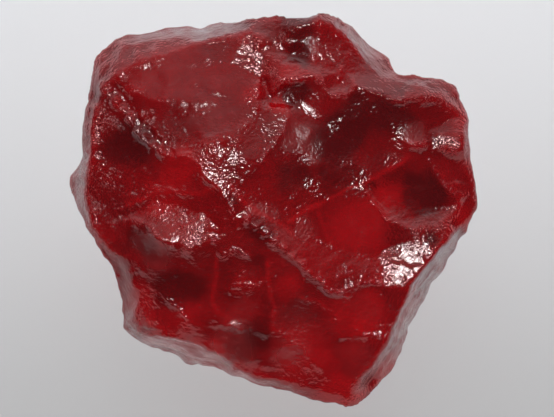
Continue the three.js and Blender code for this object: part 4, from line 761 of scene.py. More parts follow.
def scallops(points, size, seed):
    """Shallow bowls that meet in sharp ridges: 0 in the middle of a bowl, about 1 on a ridge."""
    middles = np.random.default_rng(seed).uniform(0.0, 1.0, (NOISE_CELLS,) * 3 + (3,))
    place = points / size + NOISE_ORIGIN
    cell = np.floor(place).astype(int)
    nearest = np.full(len(points), np.inf)
    for step in np.ndindex(3, 3, 3):
        other = cell + np.array(step) - 1
        i, j, k = (other % NOISE_CELLS).T
        away = other + middles[i, j, k] - place
        nearest = np.minimum(nearest, np.sum(away * away, axis=1))
    return nearest


def wobbled(u, v, waves, seed):
    """Shifts places by noise, so that what is read there wobbles."""
    points = np.column_stack((u, v, np.zeros(len(u))))
    for number, (wavelength, reach) in enumerate(waves):
        u = u + reach * lattice_noise(points, wavelength, seed + 2 * number)
        v = v + reach * lattice_noise(points, wavelength, seed + 2 * number + 1)
    return u, v


def crinkled(u, v):
    """Where each point would be if the creases ran straight: this makes them wobble."""
    return wobbled(u, v, CRINKLES, CRINKLE_SEED)


# ---------------------------------------------------------------- stretching a skin


def girdle_fields(axis):
    """Which grid points lie inside the girdle, how far from it each is, and its height there."""
    u, v = np.meshgrid(axis, axis)
    nearest = np.full(u.shape, np.inf)
    height = np.zeros(u.shape)
    inside = np.zeros(u.shape, bool)
    points = np.array(GIRDLE)
    for a, b in zip(points, np.roll(points, -1, axis=0)):
        edge = b[:2] - a[:2]
        along = ((u - a[0]) * edge[0] + (v - a[1]) * edge[1]) / (edge @ edge)
        t = np.clip(along, 0.0, 1.0)
        distance = np.hypot(u - a[0] - t * edge[0], v - a[1] - t * edge[1])
        closer = distance < nearest
        nearest = np.where(closer, distance, nearest)
        height = np.where(closer, a[2] + t * (b[2] - a[2]), height)
        if a[1] != b[1]:
            spans = (a[1] > v) != (b[1] > v)
            inside ^= spans & (u < a[0] + (v - a[1]) / (b[1] - a[1]) * edge[0])
    return inside, nearest, height


def lay_wires(wires, cell, count):
    """Marks the grid points that the wires pass, with the wires' heights."""
    total = np.zeros((count, count))
    passes = np.zeros((count, count))
    for wire in wires.values():
        points = np.array(wire, float)
        for a, b in zip(points[:-1], points[1:]):
            steps = max(1, math.ceil(math.hypot(*(b - a)[:2]) / (cell / 2)))
            t = np.linspace(0.0, 1.0, steps + 1)[:, None]
            line = a + t * (b - a)
            column = np.rint((line[:, 0] + HALF_WIDTH) / cell).astype(int)
            row = np.rint((line[:, 1] + HALF_WIDTH) / cell).astype(int)
            np.add.at(total, (row, column), line[:, 2])
            np.add.at(passes, (row, column), 1)
    return passes > 0, total / np.maximum(passes, 1)


def hollow_pull(hollows, axis):
    """The pull of the hollows. Each sinks its stretch of skin, and a negative depth lifts it."""
    u, v = np.meshgrid(axis, axis)
    pull = np.zeros(u.shape)
    for hollow_u, hollow_v, radius, depth in hollows:
        pull += 4 * depth / radius**2 * np.exp(-squared_radii(u, v, hollow_u, hollow_v, radius))
    return pull


def read_grid(heights, u, v):
    """Reads a square grid of heights between its points."""
    count = heights.shape[0]
    cell = 2 * HALF_WIDTH / (count - 1)
    last = count - 1.001  # a little short of the last point, so that one always follows
    x = np.clip((u + HALF_WIDTH) / cell, 0, last)
    y = np.clip((v + HALF_WIDTH) / cell, 0, last)
    column = x.astype(int)
    row = y.astype(int)
    x = x - column
    y = y - row
    low = heights[row, column] * (1 - x) + heights[row, column + 1] * x
    high = heights[row + 1, column] * (1 - x) + heights[row + 1, column + 1] * x
    return low * (1 - y) + high * y


def relax(heights, free, load, sweeps):
    """Lets each free point settle at the mean of its four neighbours, less the load."""
    row, column = np.indices(heights.shape)
    free = free.copy()
    free[[0, -1]] = False
    free[:, [0, -1]] = False
    chequers = [free & ((row + column) % 2 == parity) for parity in (0, 1)]
    for _ in range(sweeps):
        for chequer in chequers:
            around = np.zeros_like(heights)
            around[1:-1, 1:-1] = (
                heights[:-2, 1:-1] + heights[2:, 1:-1] + heights[1:-1, :-2] + heights[1:-1, 2:]
            )
            settled = (around - load) / 4
            heights = np.where(chequer, heights + OVER_RELAXATION * (settled - heights), heights)
    return heights


def round_ridges(heights, passes):
    """Rounds the creases of a grid by averaging down its columns and along its rows."""
    for _ in range(2 * passes):
        edged = np.pad(heights, ((1, 1), (0, 0)), mode="edge")
        heights = ((edged[:-2] + 2 * edged[1:-1] + edged[2:]) / 4).T
    return heights


def stretch_skin(wires, hollows, outwards):
    """A skin over the wires. Past the girdle it runs on, so that front and back cross there."""
    heights = None
    for cell, sweeps in zip(GRID_CELLS, GRID_SWEEPS):
        count = round(2 * HALF_WIDTH / cell) + 1
        axis = np.linspace(-HALF_WIDTH, HALF_WIDTH, count)
        inside, distance, girdle = girdle_fields(axis)
        wired, wire_height = lay_wires(wires, cell, count)
        wired &= inside
        if heights is None:
            settled = np.zeros((count, count))
        else:
            settled = read_grid(heights, *np.meshgrid(axis, axis))
        beyond = np.maximum(distance - GIRDLE_MARGIN, 0.0)
        heights = np.where(inside, settled, girdle - outwards * OUTER_SLOPE * beyond)
        heights = np.where(wired, wire_height, heights)
        load = hollow_pull(hollows, axis) * cell * cell
        heights = relax(heights, inside & ~wired, load, sweeps)
    heights = round_ridges(heights, ROUNDING_PASSES)
    u, v = (grid.ravel() for grid in np.meshgrid(axis, axis))
    return read_grid(heights, *crinkled(u, v)).reshape(count, count)


# ---------------------------------------------------------------- the surface between the skins


def cube_sphere(divisions):
    """Unit directions on a cube blown up to a sphere, and the four corners of each patch."""
    steps = np.tan(np.linspace(-math.pi / 4, math.pi / 4, divisions + 1))
    a, b = (grid.ravel() for grid in np.meshgrid(steps, steps, indexing="ij"))
    one = np.ones_like(a)
    sides = (
        np.stack((one, a, b), 1),
        np.stack((-one, b, a), 1),
        np.stack((b, one, a), 1),
        np.stack((a, -one, b), 1),
        np.stack((a, b, one), 1),
        np.stack((b, a, -one), 1),
    )
    points = np.vstack(sides)
    _, first, merged = np.unique(points.round(9), axis=0, return_index=True, return_inverse=True)
    order = np.argsort(first)
    rank = np.empty_like(order)
    rank[order] = np.arange(len(order))
    corner = np.arange((divisions + 1) ** 2).reshape(divisions + 1, divisions + 1)
    patch = np.stack((corner[:-1, :-1], corner[1:, :-1], corner[1:, 1:], corner[:-1, 1:]), -1)
    patch = patch.reshape(-1, 4)
    patches = np.vstack([patch + side * (divisions + 1) ** 2 for side in range(len(sides))])
    patches = rank[merged.ravel()[patches]]
    directions = points[first[order]]
    return directions / np.linalg.norm(directions, axis=1, keepdims=True), patches


def probes_for(directions):
    """Where each direction's probe starts, and which way it goes.

    The front's probes start spread over a wide disc and lean out a little, the sides' lean
    over, and the back's draw together again."""
    share = (1 - directions[:, 2]) / 2
    back_share = 1 - FRONT_SHARE - SIDE_SHARE
    front = np.sqrt(share / FRONT_SHARE)
    side = (share - FRONT_SHARE) / SIDE_SHARE
    back = np.sqrt((1 - share) / back_share)
    zones = [share < FRONT_SHARE, share < 1 - back_share]
    tilt = np.select(
        zones,
        [FRONT_TILT * front, FRONT_TILT + (SIDE_TILT - FRONT_TILT) * side],
        math.pi - (math.pi - SIDE_TILT) * back,
    )
    radius = np.select(
        zones,
        [FRONT_CORE * front, FRONT_CORE + (BACK_CORE - FRONT_CORE) * side],
        BACK_CORE * back,
    )
    flat = directions[:, :2]
    across = flat / np.maximum(np.linalg.norm(flat, axis=1), TINY)[:, None]
    start = np.column_stack((across * radius[:, None], np.full(len(share), CORE_HEIGHT)))
    way = np.column_stack((across * np.sin(tilt)[:, None], np.cos(tilt)))
    return start, way


def leaving_points(start, way, is_inside):
    """Where probes that start inside first leave."""
    near = np.zeros(len(start))
    far = np.full(len(start), PROBE_STEP)
    walking = np.ones(len(start), bool)
    for _ in range(round(PROBE_REACH / PROBE_STEP)):
        walking &= is_inside(start + way * far[:, None])
        near = np.where(walking, far, near)
        far = np.where(walking, far + PROBE_STEP, far)
    for _ in range(PROBE_HALVINGS):
        middle = (near + far) / 2
        within = is_inside(start + way * middle[:, None])
        near = np.where(within, middle, near)
        far = np.where(within, far, middle)
    return start + way * near[:, None]


def surface_points(directions):
    """The points of the stone's surface that the probes in these directions find."""
    front_skin = stretch_skin(FRONT_WIRES, FRONT_HOLLOWS, 1)
    back_skin = stretch_skin(BACK_WIRES, BACK_HOLLOWS, -1)

    def is_between_skins(points):
        front = read_grid(front_skin, points[:, 0], points[:, 1])
        back = read_grid(back_skin, points[:, 0], points[:, 1])
        return (back < points[:, 2]) & (points[:, 2] < front)

    azimuth, tilt, radius, depth = np.array(CHIPS, float).T
    azimuth = np.radians(azimuth)
    tilt = np.radians(tilt)
    flat = np.sin(tilt)
    way = np.column_stack((np.cos(azimuth) * flat, np.sin(azimuth) * flat, np.cos(tilt)))
    core = np.tile((0.0, 0.0, CORE_HEIGHT), (len(way), 1))
    centres = leaving_points(core, way, is_between_skins) + way * (radius - depth)[:, None]

    def is_in_stone(points):
        within = is_between_skins(points)
        for centre, ball in zip(centres, radius):
            within &= ((points - centre) ** 2).sum(axis=1) > ball**2
        return within

    return leaving_points(*probes_for(directions), is_in_stone)


def patch_normals(points, patches):
    """Outward unit normals at the points of a closed skin of four-cornered patches."""
    across = points[patches[:, 2]] - points[patches[:, 0]]
    up = points[patches[:, 3]] - points[patches[:, 1]]
    face = np.cross(across, up)
    normals = np.zeros_like(points)
    for corner in range(4):
        np.add.at(normals, patches[:, corner], face)
    return normals / np.maximum(np.linalg.norm(normals, axis=1, keepdims=True), TINY)


def spread(values, patches, rounds):
    """Averages values over neighbouring points, a number of times."""
    edges = np.vstack([patches[:, [i, (i + 1) % 4]] for i in range(4)])
    for _ in range(rounds):
        total = values.copy()
        count = np.ones(len(values))
        np.add.at(total, edges[:, 0], values[edges[:, 1]])
        np.add.at(count, edges[:, 0], 1)
        values = (total.T / count).T
    return values


def sharpness(points, patches):
    """How far each point stands out from its surroundings, in mm: above 0 on a ridge."""
    smooth = spread(points, patches, RIDGE_ROUNDS)
    return np.sum((points - smooth) * patch_normals(points, patches), axis=1)


def stand_up(points):
    """From the leaning drawing plane to the ground's own frame."""
    up = points[:, 1] * math.cos(LEAN) + points[:, 2] * math.sin(LEAN)
    away = points[:, 1] * math.sin(LEAN) - points[:, 2] * math.cos(LEAN)
    return np.column_stack((points[:, 0], away, CENTRE_HEIGHT + up))


# ---------------------------------------------------------------- the roughness of the break


def spots(places, u, v):
    """How strongly each point lies under the listed places, round ones with wavering edges."""
    u, v = wobbled(u, v, WAVERS, WAVER_SEED)
    strength = np.zeros(len(u))
    for spot_u, spot_v, radius, amount in places:
        q = squared_radii(u, v, spot_u, spot_v, radius)
        strength = np.maximum(strength, amount * np.exp(-q * q))
    return strength


def line_distance(line, u, v):
    """How far each point is from a line of (u, v), and how far along it the nearest place is."""
    nearest = np.full(len(u), np.inf)
    along = np.zeros(len(u))
    passed = 0.0
    for a, b in zip(line[:-1], line[1:]):
        edge = (b[0] - a[0], b[1] - a[1])
        length = math.hypot(*edge)
        t = np.clip(((u - a[0]) * edge[0] + (v - a[1]) * edge[1]) / length**2, 0.0, 1.0)
        distance = np.hypot(u - a[0] - t * edge[0], v - a[1] - t * edge[1])
        along = np.where(distance < nearest, passed + t * length, along)
        nearest = np.minimum(nearest, distance)
        passed += length
    return nearest, along


def strokes(lines, u, v):
    """How strongly each point lies on the listed lines, each with its width and strength."""
    strength = np.zeros(len(u))
    for width, amount, line in lines:
        distance, _ = line_distance(line, u, v)
        strength = np.maximum(strength, amount * np.exp(-((distance / width) ** 2)))
    return strength


def teeth(u, v):
    """The little teeth of the stepped edges."""
    out = np.zeros(len(u))
    for number, (width, pitch, rise_u, rise_v, line) in enumerate(STEPPED):
        distance, along = line_distance(line, u, v)
        corner = np.array(line)
        passed = np.cumsum(np.append(0.0, np.hypot(*np.diff(corner, axis=0).T)))
        tooth = np.floor(along / pitch)
        middle = (tooth + 0.5) * pitch
        middle_u, middle_v = (np.interp(middle, passed, places) for places in corner.T)
        tilts = np.random.default_rng(TOOTH_SEED + number).uniform(*TOOTH_SPREAD, TOOTH_KINDS)
        rise = rise_u * (u - middle_u) + rise_v * (v - middle_v)
        out += rise * tilts[tooth.astype(int) % TOOTH_KINDS] * np.exp(-((distance / width) ** 4))
    return out


def streaks(points):
    """Fine lengthwise ridges on the streaked walls."""
    u, v, height = points.T
    out = np.zeros(len(points))
    for number, (spot_u, spot_v, radius, heading, strength) in enumerate(STREAKED):
        weight = strength * np.exp(-squared_radii(u, v, spot_u, spot_v, radius))
        turn = math.radians(heading)
        along = u * math.cos(turn) + v * math.sin(turn)
        across = v * math.cos(turn) - u * math.sin(turn)
        place = np.column_stack((along * STREAK_STRETCH, across, height))
        out += weight * sum(
            amount * lattice_noise(place, wavelength, seed + number)
            for wavelength, amount, seed in STREAK_WAVES
        )
    return out


def roughen(points, patches, props):
    """Moves the points in and out for the bowls, streaks, cracks and grain of the break."""
    u, v, height = points.T
    front = fade(height, RELIEF_FADE)
    crumple = spots(CRUMPLED, u, v) * front
    edge = strokes(GLITTERING, *crinkled(u, v)) * front
    calm = np.maximum(spots(GLASSY, u, v) * front, EDGE_CALM * edge)
    side = fade(height, SIDE_FADE) * SIDE_ROUGHNESS
    under = fade(height, UNDER_FADE) * UNDER_ROUGHNESS
    rough = np.clip(props.smooth_grain + crumple + side + under - CALMING * calm, *ROUGHNESS_LIMITS)
    bend = [lattice_noise(points, BOWL_BEND_WAVE, seed) for seed in BOWL_BEND_SEEDS]
    bent = points + np.column_stack(bend) * BOWL_BEND
    out = np.zeros(len(points))
    for size, rise, share, seed in BOWLS:
        out += scallops(bent, size, seed) * rise * (share + rough)
    out += lattice_noise(points, GRAIN_WAVE, GRAIN_SEED) * GRAIN_HEIGHT * (GRAIN_SHARE + rough)
    out += streaks(points) * STREAK_HEIGHT
    chips = EDGE_CHIP_HEIGHT * lattice_noise(points, EDGE_CHIP_WAVE, EDGE_CHIP_SEED)
    out += edge * (EDGE_RISE + chips)
    out += teeth(*crinkled(u, v)) * front
    for swell_u, swell_v, radius, rise in SWELLS:
        out += rise * np.exp(-squared_radii(u, v, swell_u, swell_v, radius)) * front
    for line in CRACKS:
        distance, _ = line_distance(line, u, v)
        out -= CRACK_DEPTH * np.exp(-((distance / CRACK_WIDTH) ** 2)) * (height > CRACK_END)
    out -= out.mean()
    return points + patch_normals(points, patches) * out[:, None]


def finish_layers(points, patches):
    """The values at the points that steer the crystal's tint with its painted glow and shade, its
    dullness and grain.
    """
    u, v, height = points.T
    front = fade(height, FINISH_FADE)
    crease = crinkled(u, v)
    ridge = spread(sharpness(points, patches) / RIDGE_HEIGHT, patches, 1)
    # painted glow from the listed spots and edges; the painted shade spots are taken off it below
    painted_glows = np.maximum(spots(PAINTED_GLOW_SPOTS, u, v), strokes(PAINTED_EDGE_GLOW, *crease))
    return {
        "ridge": np.clip(ridge, 0.0, 1.0),
        "frost": spots(FROSTED, u, v) * front,
        "painted_glow_and_shade": (painted_glows - spots(PAINTED_SHADE_SPOTS, u, v)) * front,
        "glitter": strokes(GLITTERING, *crease) * front,
        "glassy": spots(GLASSY, u, v) * front,
    }


# ---------------------------------------------------------------- mesh and material helpers


def skin_mesh(name, points, patches, layers):
    """A smooth-shaded mesh in metres, with named values at its points."""
    mesh = bpy.data.meshes.new(name)
    mesh.vertices.add(len(points))
    mesh.vertices.foreach_set("co", (points * MILLIMETRE).astype(np.float32).ravel())
    mesh.loops.add(patches.size)
    mesh.loops.foreach_set("vertex_index", patches.astype(np.int32).ravel())
    mesh.polygons.add(len(patches))
    mesh.polygons.foreach_set("loop_start", np.arange(0, patches.size, 4, dtype=np.int32))
    mesh.update(calc_edges=True)
    mesh.polygons.foreach_set("use_smooth", np.ones(len(patches), bool))
    for layer, values in layers.items():
        attribute = mesh.attributes.new(layer, "FLOAT", "POINT")
        attribute.data.foreach_set("value", values.astype(np.float32))
    mesh.validate()
    return mesh


def cut_at_ground(mesh):
    """Cuts the mesh off at the ground and closes it with a flat face."""
    whole = bmesh.new()
    whole.from_mesh(mesh)
    cut = bmesh.ops.bisect_plane(
        whole,
        geom=whole.verts[:] + whole.edges[:] + whole.faces[:],
        dist=CUT_SLACK,
        plane_co=(0, 0, 0),
        plane_no=(0, 0, -1),
        clear_outer=True,
    )
    rim = [part for part in cut["geom_cut"] if isinstance(part, bmesh.types.BMEdge)]
    base = bmesh.ops.contextual_create(whole, geom=rim)["faces"]
    for face in base:
        face.smooth = False
    bmesh.ops.triangulate(whole, faces=base)
    bmesh.ops.recalc_face_normals(whole, faces=whole.faces[:])
    whole.to_mesh(mesh)
    whole.free()


def centre_over(stone, box):
    """Moves the mesh sideways until its box stands centred over another, and returns the move."""
    points = np.empty(len(stone.data.vertices) * 3, np.float32)
    stone.data.vertices.foreach_get("co", points)
    points = points.reshape(-1, 3)
    middle = (points.min(axis=0) + points.max(axis=0)) / 2
    target = (np.array(box[0]) + np.array(box[1])) / 2
    shift = Vector((*(target - middle)[:2], 0.0))
    stone.data.vertices.foreach_set("co", (points + np.array(shift, np.float32)).ravel())
    stone.data.update()
    return shift


class Nodes:
    """Adds nodes to the tree of a material or of the world, and links them."""

    def __init__(self, owner):
        owner.use_nodes = True
        self.tree = owner.node_tree
        self.tree.nodes.clear()

    def feed(self, socket, value):
        """Sets a socket, or links it where the value is another node's output."""
        if isinstance(value, bpy.types.NodeSocket):
            self.tree.links.new(value, socket)
        else:
            socket.default_value = value

    def add(self, kind, settings=None, **inputs):
        """A new node. Its inputs are named as its sockets are, with _ for a space."""
        node = self.tree.nodes.new(kind)
        for key, value in (settings or {}).items():
            setattr(node, key, value)
        for key, value in inputs.items():
            self.feed(node.inputs[key.replace("_", " ")], value)
        return node

    def layer(self, name):
        """The values that the mesh carries under a name."""
        return self.add("ShaderNodeAttribute", {"attribute_name": name}).outputs["Fac"]

    def ramp(self, factor, limits, values=(0.0, 1.0)):
        """A smooth rise from one value to the other as factor goes from limit to limit."""
        node = self.add(
            "ShaderNodeMapRange",
            {"interpolation_type": "SMOOTHSTEP"},
            Value=factor,
            From_Min=limits[0],
            From_Max=limits[1],
            To_Min=values[0],
            To_Max=values[1],
        )
        return node.outputs["Result"]

    def blend(self, factor, first, second):
        """A colour between two others."""
        node = self.add("ShaderNodeMix", {"data_type": "RGBA"}, Factor=factor, A=first, B=second)
        return node.outputs["Result"]

    def math(self, operation, a, b):
        """One sum or product of two values."""
        node = self.add("ShaderNodeMath", {"operation": operation})
        for socket, value in zip(node.inputs, (a, b)):
            self.feed(socket, value)
        return node.outputs[0]

    def noise(self, place, scale, detail, roughness):
        """A cloudy texture."""
        node = self.add(
            "ShaderNodeTexNoise", Vector=place, Scale=scale, Detail=detail, Roughness=roughness
        )
        return node.outputs["Fac"]

    def depth_behind(self, output):
        """How far back a place or a direction lies, from one of the coordinate outputs."""
        place = self.add("ShaderNodeTexCoord").outputs[output]
        return self.add("ShaderNodeSeparateXYZ", Vector=place).outputs["Y"]


def garnet_material(props):
    """Deep red see-through crystal with a glassy, rippled and finely pitted broken surface."""
    material = bpy.data.materials.new("garnet_crystal")
    nodes = Nodes(material)
    place = nodes.add("ShaderNodeTexCoord").outputs["Object"]
    ridge = nodes.layer("ridge")

    # The tint: a random tone, with the painted glow and painted shade of the listed spots and
    # edges, and painted glow on the ridges.
    tone_and_painted_glow = nodes.math("SUBTRACT", nodes.noise(place, *VEIL_TEXTURE), 0.5)
    tone_and_painted_glow = nodes.math("ADD", nodes.math("MULTIPLY", tone_and_painted_glow, VEIL_STRENGTH), nodes.layer("painted_glow_and_shade"))
    tone_and_painted_glow = nodes.math("ADD", tone_and_painted_glow, nodes.math("MULTIPLY", ridge, RIDGE_GLOW))
    tint = nodes.blend(nodes.ramp(tone_and_painted_glow, TONE_AND_GLOW_RANGE), props.deep_red, props.bright_red)

    dull = nodes.ramp(nodes.noise(place, *PATCH_TEXTURE), PATCH_RANGE)
    dull = nodes.math("MAXIMUM", nodes.math("MULTIPLY", dull, PATCH_DULLNESS), nodes.layer("frost"))
    roughness = nodes.ramp(dull, (0.0, 1.0), (props.polish, props.frosting))

    grit = nodes.math("MULTIPLY", ridge, RIDGE_GRIT)
    grit = nodes.math("MAXIMUM", grit, nodes.math("MULTIPLY", dull, DULL_GRIT))
    glitter = nodes.math("MULTIPLY", nodes.layer("glitter"), GLITTER_STRENGTH)
    coarseness = nodes.math("ADD", nodes.ramp(grit, GRIT_RANGE, GRAIN_STRENGTH), glitter)
    grain = nodes.math("MULTIPLY", nodes.noise(place, *GRAIN_TEXTURE), coarseness)
    ripple = nodes.math("MULTIPLY", nodes.noise(place, *RIPPLE_TEXTURE), RIPPLE_STRENGTH)
    left_over = nodes.ramp(nodes.layer("glassy"), (0.0, 1.0), (1.0, GLASSY_RELIEF))
    relief = nodes.math("MULTIPLY", nodes.math("ADD", grain, ripple), left_over)
    bump = nodes.add("ShaderNodeBump", Strength=1.0, Distance=props.grain_depth, Height=relief)

    surface = nodes.add(
        "ShaderNodeBsdfPrincipled",
        IOR=REFRACTION,
        Transmission_Weight=CLEARNESS,
        Base_Color=tint,
        Roughness=roughness,
        Normal=bump.outputs["Normal"],
    )
    absorption = nodes.add(
        "ShaderNodeVolumeAbsorption", Color=props.body_red, Density=props.body_depth
    )
    nodes.add(
        "ShaderNodeOutputMaterial",
        Surface=surface.outputs["BSDF"],
        Volume=absorption.outputs["Volume"],
    )
    return material


def floor_material(props):
    """A matt floor with painted light: a little darker in front and paler behind the stone."""
    material = bpy.data.materials.new("floor_white")
    nodes = Nodes(material)
    # painted light and shade: the colour runs from the shaded near colour to the lit far one
    behind = nodes.ramp(nodes.depth_behind("Object"), FLOOR_FADE)
    surface = nodes.add(
        "ShaderNodeBsdfPrincipled",
        Base_Color=nodes.blend(behind, props.shaded_near_floor_colour, props.lit_far_floor_colour),
        Roughness=FLOOR_ROUGHNESS,
        Specular_IOR_Level=0.0,
    )
    nodes.add("ShaderNodeOutputMaterial", Surface=surface.outputs["BSDF"])
    return material


# ---------------------------------------------------------------- lamps, camera and room


def aim(thing, place, target):
    """Puts a camera or a lamp at a place, looking at a target, with its top upwards."""
    thing.location = place
    thing.rotation_euler = (Vector(target) - Vector(place)).to_track_quat("-Z", "Y").to_euler()


def softbox(name, place, target, width, length, power):
    """A flat rectangular lamp."""
    lamp = bpy.data.lights.new(name, "AREA")
    lamp.shape = "RECTANGLE"
    lamp.size = width
    lamp.size_y = length
    lamp.energy = power
    thing = bpy.data.objects.new(name, lamp)
    bpy.context.scene.collection.objects.link(thing)
    aim(thing, place, target)
    return thing


def light_studio(target):
    """Hangs all lamps around a target. The fills cast no shadows of their own."""
    for name, elevation, azimuth, distance, width, length, power, lights in LAMPS:
        up = math.radians(elevation)
        around = math.radians(azimuth)
        flat = math.cos(up)
        way = Vector((math.sin(around) * flat, math.cos(around) * flat, math.sin(up)))
        lamp = softbox(name, target + way * distance, target, width, length, power)
        lamp.visible_diffuse = "diffuse" in lights
        lamp.visible_glossy = "gloss" in lights
        lamp.visible_transmission = "through" in lights
        if lamp.visible_diffuse:
            lamp.data.use_shadow = "shadow" in lights
            lamp.data.cycles.use_multiple_importance_sampling = False


def set_world():
    """A dim room with a paler wall behind the stone."""
    world = bpy.data.worlds.new("studio")
    bpy.context.scene.world = world
    nodes = Nodes(world)
    light = nodes.ramp(nodes.depth_behind("Generated"), WALL_FADE, (ROOM_LIGHT, WALL_LIGHT))
    background = nodes.add("ShaderNodeBackground", Color=ROOM_COLOUR, Strength=light)
    nodes.add("ShaderNodeOutputWorld", Surface=background.outputs["Background"])


def place_camera(target, distance):
    """Sets the camera up square to the drawing plane."""
    lens = bpy.data.cameras.new("camera")
    lens.sensor_width = SENSOR_WIDTH
    lens.lens = LENS_LENGTH
    lens.clip_start = CLIP_NEAR
    lens.clip_end = CLIP_FAR
    camera = bpy.data.objects.new("camera", lens)
    bpy.context.scene.collection.objects.link(camera)
    towards = Vector((0.0, -math.cos(LEAN), math.sin(LEAN)))
    aim(camera, target + towards * distance, target)
    bpy.context.scene.camera = camera


def lay_floor(props):
    """A square floor under the stone."""
    mesh = bpy.data.meshes.new("floor")
    half = props.floor_side / 2
    corners = [(-half, -half, 0), (half, -half, 0), (half, half, 0), (-half, half, 0)]
    mesh.from_pydata(corners, [], [(0, 1, 2, 3)])
    mesh.materials.append(floor_material(props))
    floor = bpy.data.objects.new("floor", mesh)
    floor.location.z = FLOOR_DROP
    bpy.context.scene.collection.objects.link(floor)
    return floor


# ---------------------------------------------------------------- what a user may change


class GarnetProperties(bpy.types.PropertyGroup):
    """Sizes and finish of the stone."""

    divisions: bpy.props.IntProperty(
        name="Divisions",
        description="Patches along each edge of the cube that carries the surface",
        default=128,
        min=8,
        max=160,
    )
    smooth_grain: bpy.props.FloatProperty(
        name="Smooth grain",
        description="Grain left on the smooth faces, as a part of that on the crumpled ones",
        default=0.25,
        min=0.0, max=1.0, subtype="FACTOR",
    )
    grain_depth: bpy.props.FloatProperty(
        name="Grain depth",
        description="Height of the finest grain and pits",
        default=0.000033,
        min=0.0,
        max=0.001,
        precision=6,
        unit="LENGTH", subtype="DISTANCE",
    )
    polish: bpy.props.FloatProperty(
        name="Glassy roughness",
        description="Roughness of the cleanest broken faces",
        default=0.11,
        min=0.0, max=1.0, subtype="FACTOR",
    )
    frosting: bpy.props.FloatProperty(
        name="Frosted roughness",
        description="Roughness of the dullest places",
        default=0.33,
        min=0.0, max=1.0, subtype="FACTOR",
    )
    # The deep red is also the colour of the painted shade.
    deep_red: bpy.props.FloatVectorProperty(
        name="Deep red",
        description="Tint of the clear crystal's surface",
        default=(0.20, 0.007, 0.010, 1.0),
        size=4, min=0.0, max=1.0, subtype="COLOR",
    )
    # The bright red is also the colour of the painted glow, where the crystal looks lit from
    # within.
    bright_red: bpy.props.FloatVectorProperty(
        name="Bright red",
        description="Tint of the surface over the inner veils",
        default=(0.80, 0.011, 0.018, 1.0),
        size=4, min=0.0, max=1.0, subtype="COLOR",
    )
    body_red: bpy.props.FloatVectorProperty(
        name="Body colour",
        description="Light that the crystal lets through",
        default=(0.6, 0.04, 0.06, 1.0),
        size=4, min=0.0, max=1.0, subtype="COLOR",
    )
    body_depth: bpy.props.FloatProperty(
        name="Body depth",
        description="How quickly the crystal swallows light, per metre",
        default=260.0,
        min=0.0,
        max=5000.0,
    )


class StageProperties(bpy.types.PropertyGroup):
    """Sizes and brightness of the stage."""

    floor_side: bpy.props.FloatProperty(
        name="Floor side",
        description="Side of the square floor",
        default=3.0,
        min=0.1,
        unit="LENGTH", subtype="DISTANCE",
    )
    # Painted shade: the floor's colour in front of the stone, darker than behind it.
    shaded_near_floor_colour: bpy.props.FloatVectorProperty(
        name="Near floor colour",
        description="Colour of the plain floor in front of the stone",
        default=(0.45, 0.45, 0.455, 1.0),
        size=4, min=0.0, max=1.0, subtype="COLOR",
    )
    # Painted light: the floor's colour behind the stone, paler than in front.
    lit_far_floor_colour: bpy.props.FloatVectorProperty(
        name="Far floor colour",
        description="Colour of the plain floor behind the stone",
        default=(0.79, 0.795, 0.82, 1.0),
        size=4, min=0.0, max=1.0, subtype="COLOR",
    )
    camera_distance: bpy.props.FloatProperty(
        name="Camera distance",
        description="From the middle of the drawing plane to the camera",
        default=0.246,
        min=0.05,
        unit="LENGTH", subtype="DISTANCE",
    )


# ---------------------------------------------------------------- operators


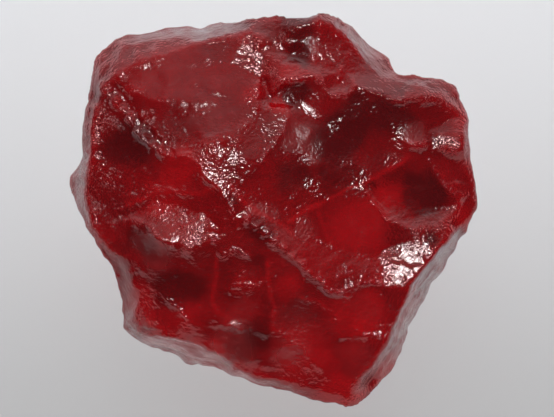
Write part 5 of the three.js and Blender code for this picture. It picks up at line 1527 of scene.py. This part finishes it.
class GARNET_OT_stone(bpy.types.Operator):
    """Builds the stone: its faces, scoops, ledges and grain, and its see-through red crystal"""

    bl_idname = "garnet.stone"
    bl_label = "Build the stone"

    def execute(self, context):
        props = context.scene.garnet
        directions, patches = cube_sphere(props.divisions)
        points = surface_points(directions)
        normals = patch_normals(points, patches)
        if np.sum(normals * (points - points.mean(axis=0))) < 0:
            patches = patches[:, ::-1]
        points = roughen(points, patches, props)
        layers = finish_layers(points, patches)
        mesh = skin_mesh("garnet_crystal", stand_up(points), patches, layers)
        cut_at_ground(mesh)
        stone = bpy.data.objects.new("garnet_crystal", mesh)
        context.scene.collection.objects.link(stone)
        context.scene["garnet_shift"] = centre_over(stone, STONE_BOX)
        mesh.materials.append(garnet_material(props))
        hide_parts("garnet")
        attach(stone, "root")
        return {"FINISHED"}


class GARNET_OT_stage(bpy.types.Operator):
    """Builds the pale floor, the soft studio light and the camera"""

    bl_idname = "garnet.stage"
    bl_label = "Build the stage"

    def execute(self, context):
        props = context.scene.garnet_stage
        scene = context.scene
        floor = lay_floor(props)
        middle = Vector((0.0, 0.0, CENTRE_HEIGHT * MILLIMETRE)) + Vector(scene["garnet_shift"])
        place_camera(middle, props.camera_distance)
        light_studio(middle)
        set_world()
        scene.view_settings.view_transform = "Standard"
        scene.view_settings.look = "None"
        return {"FINISHED"}


class GARNET_PT_panel(bpy.types.Panel):
    """Lists the builders and what they can be given"""

    bl_idname = "GARNET_PT_panel"
    bl_label = "Rough garnet"
    bl_space_type = "VIEW_3D"
    bl_region_type = "UI"
    bl_category = "Garnet"

    def draw(self, context):
        for operator, props in (
            (GARNET_OT_stone, context.scene.garnet),
            (GARNET_OT_stage, context.scene.garnet_stage),
        ):
            box = self.layout.box()
            for name in props.bl_rna.properties.keys():
                if name not in ("rna_type", "name"):
                    box.prop(props, name)
            box.operator(operator.bl_idname)


CLASSES = (
    GarnetProperties,
    StageProperties,
    GARNET_OT_stone,
    GARNET_OT_stage,
    GARNET_PT_panel,
)


def register():
    for each in CLASSES:
        bpy.utils.register_class(each)
    bpy.types.Scene.garnet = bpy.props.PointerProperty(type=GarnetProperties)
    bpy.types.Scene.garnet_stage = bpy.props.PointerProperty(type=StageProperties)


def unregister():
    del bpy.types.Scene.garnet_stage
    del bpy.types.Scene.garnet
    for each in reversed(CLASSES):
        bpy.utils.unregister_class(each)


def main():
    register()
    bpy.ops.garnet.stone()
    bpy.ops.garnet.stage()


if __name__ == "__main__":
    main()
